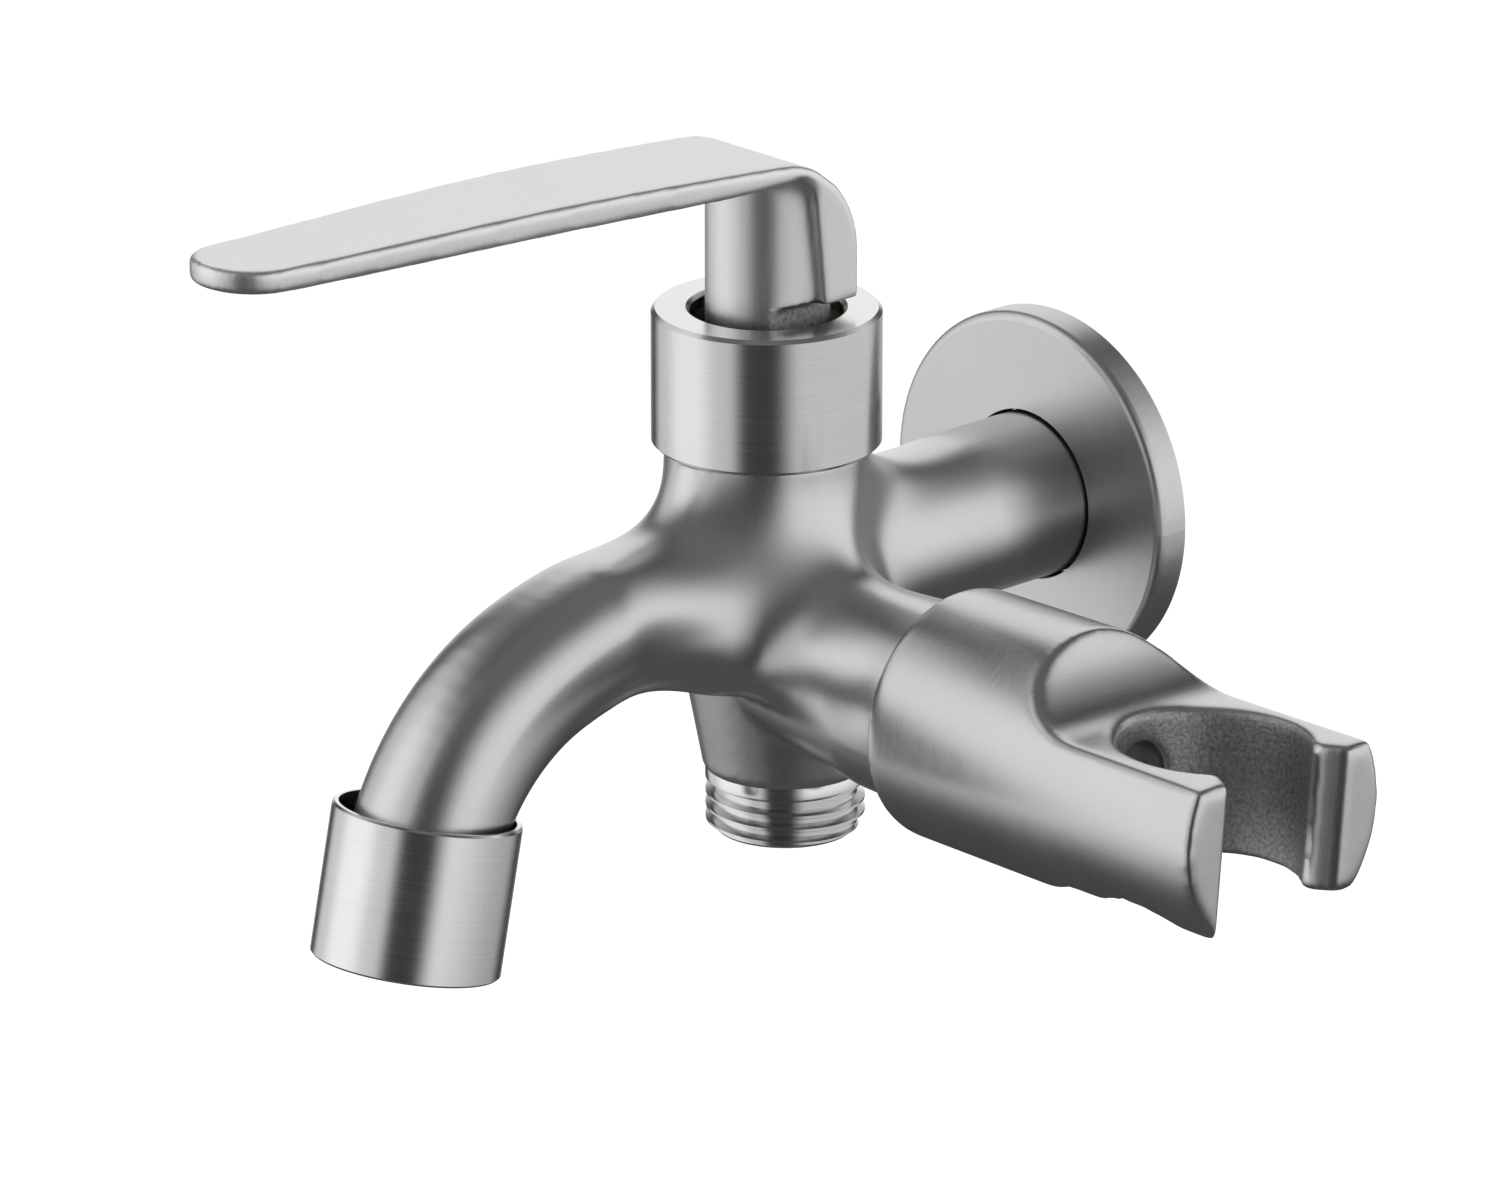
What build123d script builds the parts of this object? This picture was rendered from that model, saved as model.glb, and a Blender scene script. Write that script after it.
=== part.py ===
from build123d import *
import os
from math import cos, radians, sin, sqrt, tan

os.makedirs("parts", exist_ok=True)

# Two-way tap for a wall, in millimetres.
# The origin is where the inlet's axis meets the wall.
# +Y goes into the wall, the spout points to -Y, the holder's arm to +X, and +Z is up.

# Clearances
RUNNING = 0.05
LOOSE = 0.1
EASY = 0.3
SAME_PLACE = 0.05

# Pipe thread of the inlet and of the hose outlet, half inch
THREAD_RADIUS = 10.4775
THREAD_PITCH = 1.814
THREAD_DEPTH = 1.1
THREAD_CREST = 0.3
THREAD_FLANK_ANGLE = 27.5
THREAD_END_CHAMFER = 0.9

# Tower
TOWER_REACH = 52.5
NECK_RADIUS = 13.4
NECK_TOP = 18.5
COLUMN_BOTTOM = -26.0
COLUMN_TOP = 36.0
RING_SEAT_RADIUS = 12.9
RIM_TOP = 24.0
CAVITY_RADIUS = 9.9
SEAT_HEIGHT = 8.5
SPOUT_FILLET = 12.0
PIPE_FILLET = 11.0
ARM_FILLET = 7.0
CHIN_HEIGHT = -9.4
CASTING_BLOCK_REACH = 26.0

# Inlet pipe
PIPE_RADIUS = 11.2
THREAD_SHOULDER = -1.0
INLET_END = 14.0
INLET_BORE_RADIUS = 6.5
INLET_BORE_DEPTH = 40.0
CROSS_BORE_RADIUS = 3.8
CENTRE_PORT_RADIUS = 2.6

# Spout
SPOUT_RADIUS = 9.9
SPOUT_HEIGHT = 0.6
SPOUT_STRAIGHT = 21.5
SPOUT_FIRST_BEND_RADIUS = 57.0
SPOUT_FIRST_TURN = 20.0
SPOUT_SECOND_BEND_RADIUS = 32.0
SPOUT_TOTAL_TURN = 78.0
SPOUT_BORE_RADIUS = 6.0
SPOUT_BORE_START = 4.6

# Side arm
ARM_HEIGHT = -9.6
ARM_ROOT_RADIUS = 9.6
ARM_SWELL_RADIUS = 13.2
ARM_SWELL_REACH = 25.0
ARM_END_RADIUS = 13.6
ARM_END = 35.0
SPIGOT_RADIUS = 8.0
SPIGOT_END = 51.5
SCREW_HOLE_END = 38.0

# Hose outlet
OUTLET_OFFSET = 3.4
BOSS_TOP_RADIUS = 14.1
BOSS_ROOT_RADIUS = 9.0
BOSS_STEP = -26.6
BOSS_STEP_RADIUS = 10.8
OUTLET_COLLAR = 1.9
OUTLET_END = -35.4
OUTLET_BORE_RADIUS = 7.4
OUTLET_BORE_TOP = -17.0

# Side ports of the valve seat
PORT_RADIUS = 1.6
PORT_REACH = 6.2
SPOUT_PORT_LANDING = (3.4, -9.0, 0.6)

# Bonnet ring
RING_RADIUS = 15.0
RING_TOP = 36.8
RING_ROOF = 2.0
RING_MOUTH_RADIUS = 10.0
RING_EDGE = 0.5

# Valve cartridge, with heights above the seat
HOUSING_LIFT = 0.4
HOUSING_CHAMBER_RADIUS = 8.8
HOUSING_HEX_HEIGHT = 3.7
HOUSING_FLANGE_RADIUS = 12.2
HOUSING_FLANGE = 1.5
HEX_ACROSS_FLATS = 19.0
GASKET_THICKNESS = 0.8
SEAL_THICKNESS = 1.6
FIXED_DISC_THICKNESS = 2.6
MOVING_DISC_THICKNESS = 3.4
CHANNEL_DEPTH = 1.8
DISC_RADIUS = 8.6
FOOT_RADIUS = 8.4
FOOT_THICKNESS = 2.0
FRICTION_WASHER_THICKNESS = 0.8
SPINDLE_RADIUS = 4.5
SPLINE_RADIUS = 4.0
SPLINE_DEPTH = 0.35
SPLINE_COUNT = 20
SPINDLE_SHOULDER = 23.0
SPINDLE_TOP = 41.5
DOG_WIDTH = 3.0
DOG_LENGTH = 10.0
DOG_HEIGHT = 1.1
O_RING_WIRE = 0.74
O_RING_HEIGHTS = (13.2, 17.6)
O_RING_GROOVE_RADIUS = 3.0
O_RING_GROOVE_WIDTH = 1.9
CLIP_THICKNESS = 0.8
CLIP_OUTER_RADIUS = 6.0
CLIP_GROOVE_RADIUS = 3.6
CLIP_OPENING = 4.0

# Lever, with distances in front of the tower's axis, the strap's as shares of its reach, and heights
STEM_RADIUS = 8.0
STEM_BOTTOM = 31.8
STEM_TOP = 57.0
NECK_BACK = 7.3
NECK_BOTTOM = 38.7
NECK_FACE_LOW = -1.2
NECK_FACE_HIGH = 0.4
NECK_FACE_TOP = 53.6
BEND_START = 45.9
CREST = (5.4, 58.8)
CREST_SLOPE = (1, -0.1)
TIP_SLOPE = (1, -0.01)
STRAP_TOP = ((0.183, 59.8), (0.329, 60.8), (0.465, 61.5), (0.654, 62.1), (0.94, 62.9))
STRAP_UNDER = ((0.654, 58.7), (0.465, 58.0), (0.323, 57.3), (0.207, 56.7))
UNDER_CORNER = (4.6, 56.2)
LEVER_REACH = 95.6
LEVER_TIP_TOP = 63.1
LEVER_TIP_UNDER = 60.1
LEVER_HALF_WIDTHS = ((0.1, 9.7), (0.52, 8.9))
LEVER_TIP_RADIUS = 7.35
LEVER_EDGE_ROUND = 0.6
STRAP_BLANK_HALF = 15.0
STEM_FLAT_REACH = 6.3
STEM_FLAT_TOP = 38.7
SOCKET_ROOM = 0.6
GRUB_RADIUS = 2.5
GRUB_HEIGHT = 45.5
GRUB_SINK = 0.4
GRUB_SOCKET = 2.5
GRUB_SOCKET_DEPTH = 1.1

# Wall flange
FLANGE_RADIUS = 24.8
FLANGE_THICKNESS = 4.8
FLANGE_HOLE_RADIUS = 11.6
FLANGE_EDGE_ROUND = 1.2
FLANGE_BACK_WALL = 1.6
FLANGE_HUB_RADIUS = 14.0
FLANGE_BACK_DEPTH = 2.4
GRIP_WIRE = 0.82
GRIP_SLACK = 0.03
GRIP_DEPTH = 2.2
GRIP_GROOVE_WIDTH = 1.9

# Aerator
SLEEVE_RADIUS = 12.3
SLEEVE_LENGTH = 20.0
SLEEVE_SKIRT_RADIUS = 11.5
SLEEVE_SKIRT_DEPTH = 8.6
SLEEVE_TOP_RISE = 8.84
SLEEVE_LIP = 1.0
SLEEVE_LIP_RADIUS = 9.6
SLEEVE_EDGE = 0.3
SLEEVE_CHAMBER_RADIUS = 10.6
AERATOR_WASHER_THICKNESS = 1.2
AERATOR_HEIGHT = 3.41
AERATOR_WALL = 1.2
AERATOR_GRID_THICKNESS = 1.2
AERATOR_HOLE_RADIUS = 0.7
AERATOR_HOLE_RINGS = ((2.0, 6), (4.2, 12), (6.4, 18))
SCREEN_THICKNESS = 0.3
SCREEN_COUNT = 3
SCREEN_GAP = 0.2

# Sprayer holder, with heights from its own axis
HOLDER_START = 35.2
HOLDER_END = 94.0
HOLDER_START_RADIUS = 16.6
HOLDER_END_RADIUS = 17.3
HOLDER_TOP_FLAT = 8.0
HOLDER_BOTTOM_FLAT = -12.0
TOP_FLAT_LEAN = 1.6
BOTTOM_FLAT_LEAN = -1.8
HOLDER_SCOOP_RADIUS = 12.0
TOP_SCOOP_FLAT = 70.4
BOTTOM_SCOOP_FLAT = 69.5
SCOOP_ROOM = 14.0
CRADLE_RADIUS = 12.2
CRADLE_CENTRE = 80.7
CRADLE_LEAN = 5.2
MOUTH_NECK = 8.2
MOUTH_WIDE = 10.95
MOUTH_CORNER = 1.4
HOLDER_SOCKET_RADIUS = 9.0
HOLDER_SOCKET_END = 52.0
HOLDER_WEB = 5.0
HEAD_HOLE_RADIUS = 4.2
HOLDER_EDGE_ROUND = 0.6
SCREW_RADIUS = 3.0
SCREW_HEAD_RADIUS = 4.1
SCREW_HEAD_HEIGHT = 4.5
SCREW_SOCKET = 4.0
SCREW_SOCKET_DEPTH = 2.5
SCREW_WASHER = 0.8

# Axes and planes that several pieces share
tower_y = -TOWER_REACH
tower_plane = Plane(origin=(0, tower_y, 0), x_dir=(1, 0, 0), z_dir=(0, 0, 1))
seat_plane = Plane(origin=(0, tower_y, SEAT_HEIGHT), x_dir=(1, 0, 0), z_dir=(0, 0, 1))
wall_plane = Plane(origin=(0, 0, 0), x_dir=(1, 0, 0), z_dir=(0, 1, 0))
arm_plane = Plane(origin=(0, tower_y, ARM_HEIGHT), x_dir=(0, 1, 0), z_dir=(1, 0, 0))
outlet_y = tower_y + OUTLET_OFFSET
grub_plane = Plane(origin=(0, tower_y + NECK_BACK, GRUB_HEIGHT), z_dir=(0, -1, 0))
outlet_plane = Plane(origin=(0, outlet_y, 0), x_dir=(1, 0, 0), z_dir=(0, 0, 1))

ARM_OUTLINE = [
    (0, 0),
    (ARM_ROOT_RADIUS, 0),
    (ARM_SWELL_RADIUS, ARM_SWELL_REACH),
    (ARM_END_RADIUS, ARM_END),
    (0, ARM_END),
]

# Points along the spout's centre line, seen from the side
first_bend_y = tower_y - SPOUT_STRAIGHT
first_turn = radians(SPOUT_FIRST_TURN)
total_turn = radians(SPOUT_TOTAL_TURN)
second_bend_y = first_bend_y - SPOUT_FIRST_BEND_RADIUS * sin(first_turn)
second_bend_z = SPOUT_HEIGHT - SPOUT_FIRST_BEND_RADIUS * (1 - cos(first_turn))
bend_end_y = second_bend_y - SPOUT_SECOND_BEND_RADIUS * (sin(total_turn) - sin(first_turn))
bend_end_z = second_bend_z - SPOUT_SECOND_BEND_RADIUS * (cos(first_turn) - cos(total_turn))
spout_down = Vector(0, -cos(total_turn), -sin(total_turn))
sleeve_top = Vector(0, bend_end_y, bend_end_z) - spout_down * SLEEVE_TOP_RISE
sleeve_plane = Plane(origin=sleeve_top, x_dir=(1, 0, 0), z_dir=spout_down)

# Depths in the aerator's sleeve, from its top, and the spout's end above them
insert_end = SLEEVE_LENGTH - SLEEVE_LIP
insert_top = insert_end - AERATOR_HEIGHT
chamber_top = insert_top - AERATOR_WASHER_THICKNESS
screen_low = insert_top + EASY
screen_radius = SLEEVE_CHAMBER_RADIUS - AERATOR_WALL - 2 * LOOSE
spout_end = sleeve_top + spout_down * (chamber_top - RUNNING)

# Heights in the cartridge, above the seat
fixed_disc_low = SEAL_THICKNESS
moving_disc_low = fixed_disc_low + FIXED_DISC_THICKNESS
foot_low = moving_disc_low + MOVING_DISC_THICKNESS
foot_top = foot_low + FOOT_THICKNESS
housing_shoulder = foot_top + FRICTION_WASHER_THICKNESS
housing_seat = RIM_TOP - SEAT_HEIGHT + GASKET_THICKNESS
hex_low = housing_seat + HOUSING_FLANGE
housing_top = hex_low + HOUSING_HEX_HEIGHT
clip_low = housing_top + LOOSE

# Places along the arm and in the cradle
head_seat = HOLDER_SOCKET_END + HOLDER_WEB
cradle_lean = radians(CRADLE_LEAN)
cradle_plane = Plane(
    origin=(CRADLE_CENTRE, tower_y, ARM_HEIGHT),
    x_dir=(1, 0, 0),
    z_dir=(0, sin(cradle_lean), cos(cradle_lean)),
)
mouth_start = sqrt(CRADLE_RADIUS**2 - MOUTH_NECK**2)
mouth_flare = (MOUTH_WIDE - MOUTH_NECK) / (HOLDER_END - CRADLE_CENTRE - mouth_start)
mouth_end = HOLDER_END - CRADLE_CENTRE + EASY
mouth_end_half = MOUTH_NECK + mouth_flare * (mouth_end - mouth_start)
grip_groove_radius = PIPE_RADIUS + 2 * GRIP_WIRE + 2 * GRIP_SLACK


def section_plane(plane):
    """Plane that holds the axis of the given one, with x as radius and y as height."""
    return Plane(origin=plane.origin, x_dir=plane.x_dir, z_dir=-plane.y_dir)


def turn(plane, outline, mode=Mode.ADD):
    """Turn a closed outline of (radius, height) points about the plane's z axis."""
    with BuildSketch(section_plane(plane)) as section:
        with BuildLine():
            Polyline(*outline, close=True)
        make_face()
    revolve(section.sketch, axis=Axis(plane.origin, plane.z_dir), mode=mode)


def turn_tube(plane, inner, outer, low, high, mode=Mode.ADD):
    """Turn a plain tube or, with an inner radius of 0, a plain rod."""
    turn(plane, [(inner, low), (outer, low), (outer, high), (inner, high)], mode)


def turn_rings(plane, wire, radius, heights, mode=Mode.ADD):
    """Turn rings of round wire at the given heights."""
    with BuildSketch(section_plane(plane)) as section:
        with Locations(*[(radius, height) for height in heights]):
            Circle(wire)
    revolve(section.sketch, axis=Axis(plane.origin, plane.z_dir), mode=mode)


def cut_thread(plane, first, last):
    """Cut the thread's grooves between two heights, and chamfer the end at the last."""
    way = 1 if last > first else -1
    count = int((abs(last - first) - THREAD_END_CHAMFER / 2) / THREAD_PITCH)
    half_mouth = (THREAD_PITCH - THREAD_CREST) / 2
    half_root = half_mouth - THREAD_DEPTH * tan(radians(THREAD_FLANK_ANGLE))
    root = THREAD_RADIUS - THREAD_DEPTH
    for number in range(count):
        middle = first + way * (number + 0.5) * THREAD_PITCH
        outside = THREAD_RADIUS + LOOSE
        groove = [
            (outside, middle - half_mouth),
            (THREAD_RADIUS, middle - half_mouth),
            (root, middle - half_root),
            (root, middle + half_root),
            (THREAD_RADIUS, middle + half_mouth),
            (outside, middle + half_mouth),
        ]
        turn(plane, groove, Mode.SUBTRACT)
    beyond = last + way * LOOSE
    corner = [
        (THREAD_RADIUS + LOOSE, last - way * THREAD_END_CHAMFER),
        (THREAD_RADIUS, last - way * THREAD_END_CHAMFER),
        (THREAD_RADIUS - THREAD_END_CHAMFER, last),
        (THREAD_RADIUS - THREAD_END_CHAMFER, beyond),
        (THREAD_RADIUS + LOOSE, beyond),
    ]
    turn(plane, corner, Mode.SUBTRACT)


def new_edges(builder, before):
    """Edges with a curved joint line that the last step made."""
    places = [edge.center() for edge in before]
    plain = (GeomType.CIRCLE, GeomType.LINE)
    fresh = []
    for edge in builder.edges():
        moved = min((edge.center() - place).length for place in places)
        if edge.geom_type not in plain and moved > SAME_PLACE:
            fresh.append(edge)
    return fresh


def trim_column():
    """Cut off the column above the neck, under the spout in front and under the pipe behind."""
    reach = CASTING_BLOCK_REACH
    with BuildSketch(tower_plane.offset(NECK_TOP)) as cap:
        Rectangle(2 * reach, 2 * reach)
    extrude(cap.sketch, amount=COLUMN_TOP - NECK_TOP + EASY, mode=Mode.SUBTRACT)
    for side, height in ((-1, CHIN_HEIGHT), (1, -PIPE_RADIUS - SAME_PLACE)):
        with BuildSketch(tower_plane.offset(height)) as chin:
            with Locations((0, side * reach / 2)):
                Rectangle(2 * reach, reach)
        extrude(chin.sketch, amount=COLUMN_BOTTOM - height - EASY, mode=Mode.SUBTRACT)


def sweep_spout(radius, start, extra, mode=Mode.ADD):
    """Sweep a round section along the spout, from a distance in front of the tower's axis."""
    with BuildLine(Plane.YZ) as line:
        straight = Line((tower_y - start, SPOUT_HEIGHT), (first_bend_y, SPOUT_HEIGHT))
        first = RadiusArc(straight @ 1, (second_bend_y, second_bend_z), -SPOUT_FIRST_BEND_RADIUS)
        second = RadiusArc(first @ 1, (bend_end_y, bend_end_z), -SPOUT_SECOND_BEND_RADIUS)
        tip = spout_end + spout_down * extra
        Line(second @ 1, (tip.Y, tip.Z))
    with BuildSketch(Plane(origin=(0, tower_y - start, SPOUT_HEIGHT), z_dir=(0, -1, 0))) as ring:
        Circle(radius)
    sweep(ring.sketch, path=line.line, mode=mode)


def cut_ports():
    """Cut the centre port and the two side ports out of a disc."""
    Circle(CENTRE_PORT_RADIUS, mode=Mode.SUBTRACT)
    with Locations((PORT_REACH, 0), (-PORT_REACH, 0)):
        Circle(PORT_RADIUS, mode=Mode.SUBTRACT)


def spline_profile(plane, growth):
    """Round shaft with fine grooves, grown all round for the socket that fits it."""
    with BuildSketch(plane) as profile:
        Circle(SPLINE_RADIUS + growth)
        with PolarLocations(SPLINE_RADIUS + growth, SPLINE_COUNT):
            Circle(SPLINE_DEPTH - growth, mode=Mode.SUBTRACT)
    return profile.sketch


def cut_jets(height, depth):
    """Cut the jet former's rings of holes upwards from a height in the sleeve."""
    with BuildSketch(sleeve_plane.offset(height)) as jets:
        for radius, count in AERATOR_HOLE_RINGS:
            with PolarLocations(radius, count):
                Circle(AERATOR_HOLE_RADIUS)
    extrude(jets.sketch, amount=-depth, mode=Mode.SUBTRACT)


def cut_scoop(flat_start, level, lean, side):
    """Cut a leaning flat scoop with a round run-out above (side 1) or below (side -1) the holder's axis."""
    lift = side * HOLDER_SCOOP_RADIUS
    run_out = flat_start - HOLDER_SCOOP_RADIUS
    scoop_plane = Plane(
        origin=(0, tower_y, ARM_HEIGHT),
        x_dir=(1, 0, 0),
        z_dir=(0, -cos(radians(lean)), sin(radians(lean))),
    )
    with BuildSketch(scoop_plane) as scoop:
        with BuildLine():
            Polyline(
                (flat_start, level),
                (HOLDER_END + EASY, level),
                (HOLDER_END + EASY, level + side * SCOOP_ROOM),
                (run_out, level + side * SCOOP_ROOM),
                (run_out, level + lift),
            )
            RadiusArc((run_out, level + lift), (flat_start, level), -lift)
        make_face()
    extrude(scoop.sketch, amount=HOLDER_END_RADIUS + EASY, both=True, mode=Mode.SUBTRACT)


def lever_point(point):
    """Turn a distance in front of the tower's axis and a height into a point of the side view."""
    return (tower_y - point[0], point[1])


def strap_point(point):
    """The same for a point given as a share of the lever's reach and a height."""
    return lever_point((point[0] * LEVER_REACH, point[1]))


def export(piece, name):
    """Label a finished piece and write it."""
    piece.part.label = name
    export_step(piece.part, f"parts/{name}.step")


# Root of the side arm, blended into the column and cut level under the spout
with BuildPart() as arm_root:
    turn_tube(tower_plane, 0, NECK_RADIUS, COLUMN_BOTTOM, COLUMN_TOP)
    before = arm_root.edges()
    turn(arm_plane, ARM_OUTLINE)
    fillet(new_edges(arm_root, before), radius=ARM_FILLET)
    trim_column()

# Body: one casting of column, pipe, spout, arm and outlet boss, with its threads and passages
with BuildPart() as body:
    turn_tube(tower_plane, 0, NECK_RADIUS, COLUMN_BOTTOM, COLUMN_TOP)
    before = body.edges()
    turn_tube(wall_plane, 0, PIPE_RADIUS, tower_y, THREAD_SHOULDER)
    fillet(new_edges(body, before), radius=PIPE_FILLET)
    before = body.edges()
    sweep_spout(SPOUT_RADIUS, 0, 0)
    fillet(new_edges(body, before), radius=SPOUT_FILLET)
    trim_column()
    add(arm_root.part)
    turn(
        outlet_plane,
        [
            (0, BOSS_STEP),
            (BOSS_STEP_RADIUS, BOSS_STEP),
            (BOSS_TOP_RADIUS, CHIN_HEIGHT),
            (BOSS_ROOT_RADIUS, CHIN_HEIGHT),
            (BOSS_ROOT_RADIUS, 0),
            (0, 0),
        ],
    )
    turn(arm_plane, ARM_OUTLINE)
    turn_tube(tower_plane, 0, RING_SEAT_RADIUS, NECK_TOP, RIM_TOP)
    turn_tube(wall_plane, 0, THREAD_RADIUS, THREAD_SHOULDER, INLET_END)
    turn_tube(outlet_plane, 0, THREAD_RADIUS, OUTLET_END, BOSS_STEP)
    turn_tube(arm_plane, 0, SPIGOT_RADIUS, ARM_END, SPIGOT_END)
    turn_tube(tower_plane, 0, CAVITY_RADIUS, SEAT_HEIGHT, RIM_TOP, Mode.SUBTRACT)
    turn_tube(tower_plane, 0, CENTRE_PORT_RADIUS, 0, SEAT_HEIGHT, Mode.SUBTRACT)
    inlet_step = INLET_END - INLET_BORE_DEPTH
    turn_tube(wall_plane, 0, CROSS_BORE_RADIUS, tower_y, inlet_step, Mode.SUBTRACT)
    turn_tube(wall_plane, 0, INLET_BORE_RADIUS, inlet_step, INLET_END, Mode.SUBTRACT)
    sweep_spout(SPOUT_BORE_RADIUS, SPOUT_BORE_START, EASY, Mode.SUBTRACT)
    turn_tube(outlet_plane, 0, OUTLET_BORE_RADIUS, OUTLET_END, OUTLET_BORE_TOP, Mode.SUBTRACT)
    with BuildSketch(tower_plane.offset(OUTLET_BORE_TOP - PORT_RADIUS)) as hose_port:
        with Locations((-PORT_REACH, 0)):
            Circle(PORT_RADIUS)
    extrude(hose_port.sketch, amount=SEAT_HEIGHT - OUTLET_BORE_TOP + PORT_RADIUS, mode=Mode.SUBTRACT)
    port_mouth = Vector(PORT_REACH, tower_y, SEAT_HEIGHT)
    port_run = Vector(SPOUT_PORT_LANDING) + Vector(0, tower_y, 0) - port_mouth
    port_start = port_mouth - port_run.normalized() * PORT_RADIUS
    with BuildSketch(Plane(origin=port_start, z_dir=port_run)) as spout_port:
        Circle(PORT_RADIUS)
    extrude(spout_port.sketch, amount=port_run.length + PORT_RADIUS, mode=Mode.SUBTRACT)
    turn_tube(arm_plane, 0, SCREW_RADIUS, SCREW_HOLE_END, SPIGOT_END, Mode.SUBTRACT)
    cut_thread(wall_plane, THREAD_SHOULDER + THREAD_PITCH, INLET_END)
    cut_thread(outlet_plane, BOSS_STEP - OUTLET_COLLAR, OUTLET_END)
export(body, "body")

# Bright ring that covers the valve
with BuildPart() as bonnet_ring:
    turn(
        tower_plane,
        [
            (RING_SEAT_RADIUS + LOOSE, NECK_TOP),
            (RING_RADIUS - RING_EDGE, NECK_TOP),
            (RING_RADIUS, NECK_TOP + RING_EDGE),
            (RING_RADIUS, RING_TOP - RING_EDGE),
            (RING_RADIUS - RING_EDGE, RING_TOP),
            (RING_MOUTH_RADIUS + RING_EDGE, RING_TOP),
            (RING_MOUTH_RADIUS, RING_TOP - RING_EDGE),
            (RING_MOUTH_RADIUS, RING_TOP - RING_ROOF),
            (RING_SEAT_RADIUS + LOOSE, RING_TOP - RING_ROOF),
        ],
    )
export(bonnet_ring, "bonnet_ring")

# Ported rubber seal on the seat
with BuildPart() as seat_seal:
    with BuildSketch(seat_plane):
        Circle(DISC_RADIUS)
        cut_ports()
    extrude(amount=SEAL_THICKNESS)
export(seat_seal, "seat_seal")

# Ceramic disc that stands still
with BuildPart() as fixed_disc:
    with BuildSketch(seat_plane.offset(fixed_disc_low)):
        Circle(DISC_RADIUS)
        cut_ports()
    extrude(amount=FIXED_DISC_THICKNESS)
export(fixed_disc, "fixed_ceramic_disc")

# Ceramic disc that turns: its channel joins the centre port to one side port
with BuildPart() as moving_disc:
    with BuildSketch(seat_plane.offset(moving_disc_low)):
        Circle(DISC_RADIUS)
    extrude(amount=MOVING_DISC_THICKNESS)
    with BuildSketch(seat_plane.offset(moving_disc_low)):
        with Locations((0, PORT_REACH / 2)):
            SlotCenterToCenter(PORT_REACH, 2 * PORT_RADIUS, rotation=90)
    extrude(amount=CHANNEL_DEPTH, mode=Mode.SUBTRACT)
    with BuildSketch(seat_plane.offset(foot_low)):
        Rectangle(DOG_WIDTH, DOG_LENGTH)
    extrude(amount=-DOG_HEIGHT, mode=Mode.SUBTRACT)
export(moving_disc, "moving_ceramic_disc")

# Spindle: a foot with its driving dog, a sealed shaft and splines
with BuildPart() as spindle:
    turn_tube(seat_plane, 0, FOOT_RADIUS, foot_low, foot_top)
    with BuildSketch(seat_plane.offset(foot_low)):
        Rectangle(DOG_WIDTH - LOOSE, DOG_LENGTH - LOOSE)
    extrude(amount=LOOSE - DOG_HEIGHT)
    turn_tube(seat_plane, 0, SPINDLE_RADIUS, foot_top, SPINDLE_SHOULDER)
    spline_foot = seat_plane.offset(SPINDLE_SHOULDER)
    extrude(spline_profile(spline_foot, 0), amount=SPINDLE_TOP - SPINDLE_SHOULDER)
    for height in O_RING_HEIGHTS:
        turn_tube(
            seat_plane,
            O_RING_GROOVE_RADIUS,
            SPINDLE_RADIUS,
            height - O_RING_GROOVE_WIDTH / 2,
            height + O_RING_GROOVE_WIDTH / 2,
            Mode.SUBTRACT,
        )
    turn_tube(
        seat_plane,
        CLIP_GROOVE_RADIUS,
        SPINDLE_RADIUS,
        clip_low - RUNNING,
        clip_low + CLIP_THICKNESS + RUNNING,
        Mode.SUBTRACT,
    )
export(spindle, "spindle")

# Two rubber rings in the spindle's grooves
with BuildPart() as o_rings:
    turn_rings(seat_plane, O_RING_WIRE, SPINDLE_RADIUS - O_RING_WIRE, O_RING_HEIGHTS)
export(o_rings, "spindle_o_rings")

# Snap ring above the housing
with BuildPart() as clip:
    with BuildSketch(seat_plane.offset(clip_low)):
        Circle(CLIP_OUTER_RADIUS)
        Circle(CLIP_GROOVE_RADIUS + RUNNING, mode=Mode.SUBTRACT)
        with Locations((0, CLIP_OUTER_RADIUS)):
            Rectangle(CLIP_OPENING, 2 * CLIP_OUTER_RADIUS, mode=Mode.SUBTRACT)
    extrude(amount=CLIP_THICKNESS)
export(clip, "spindle_clip")

# Plastic washer between the spindle's foot and the housing
with BuildPart() as friction_washer:
    turn_tube(seat_plane, SPINDLE_RADIUS + LOOSE, FOOT_RADIUS, foot_top, housing_shoulder)
export(friction_washer, "friction_washer")

# Brass housing of the valve, with its flange and hexagon
with BuildPart() as housing:
    turn(
        seat_plane,
        [
            (HOUSING_CHAMBER_RADIUS, HOUSING_LIFT),
            (CAVITY_RADIUS - LOOSE, HOUSING_LIFT),
            (CAVITY_RADIUS - LOOSE, housing_seat),
            (HOUSING_FLANGE_RADIUS, housing_seat),
            (HOUSING_FLANGE_RADIUS, hex_low),
            (SPINDLE_RADIUS + RUNNING, hex_low),
            (SPINDLE_RADIUS + RUNNING, housing_shoulder),
            (HOUSING_CHAMBER_RADIUS, housing_shoulder),
        ],
    )
    with BuildSketch(seat_plane.offset(hex_low)):
        RegularPolygon(HEX_ACROSS_FLATS / 2, 6, major_radius=False)
        Circle(SPINDLE_RADIUS + RUNNING, mode=Mode.SUBTRACT)
    extrude(amount=HOUSING_HEX_HEIGHT)
export(housing, "cartridge_housing")

# Flat ring under the housing's flange
with BuildPart() as gasket:
    turn_tube(seat_plane, CAVITY_RADIUS, HOUSING_FLANGE_RADIUS, RIM_TOP - SEAT_HEIGHT, housing_seat)
export(gasket, "cartridge_gasket")

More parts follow.
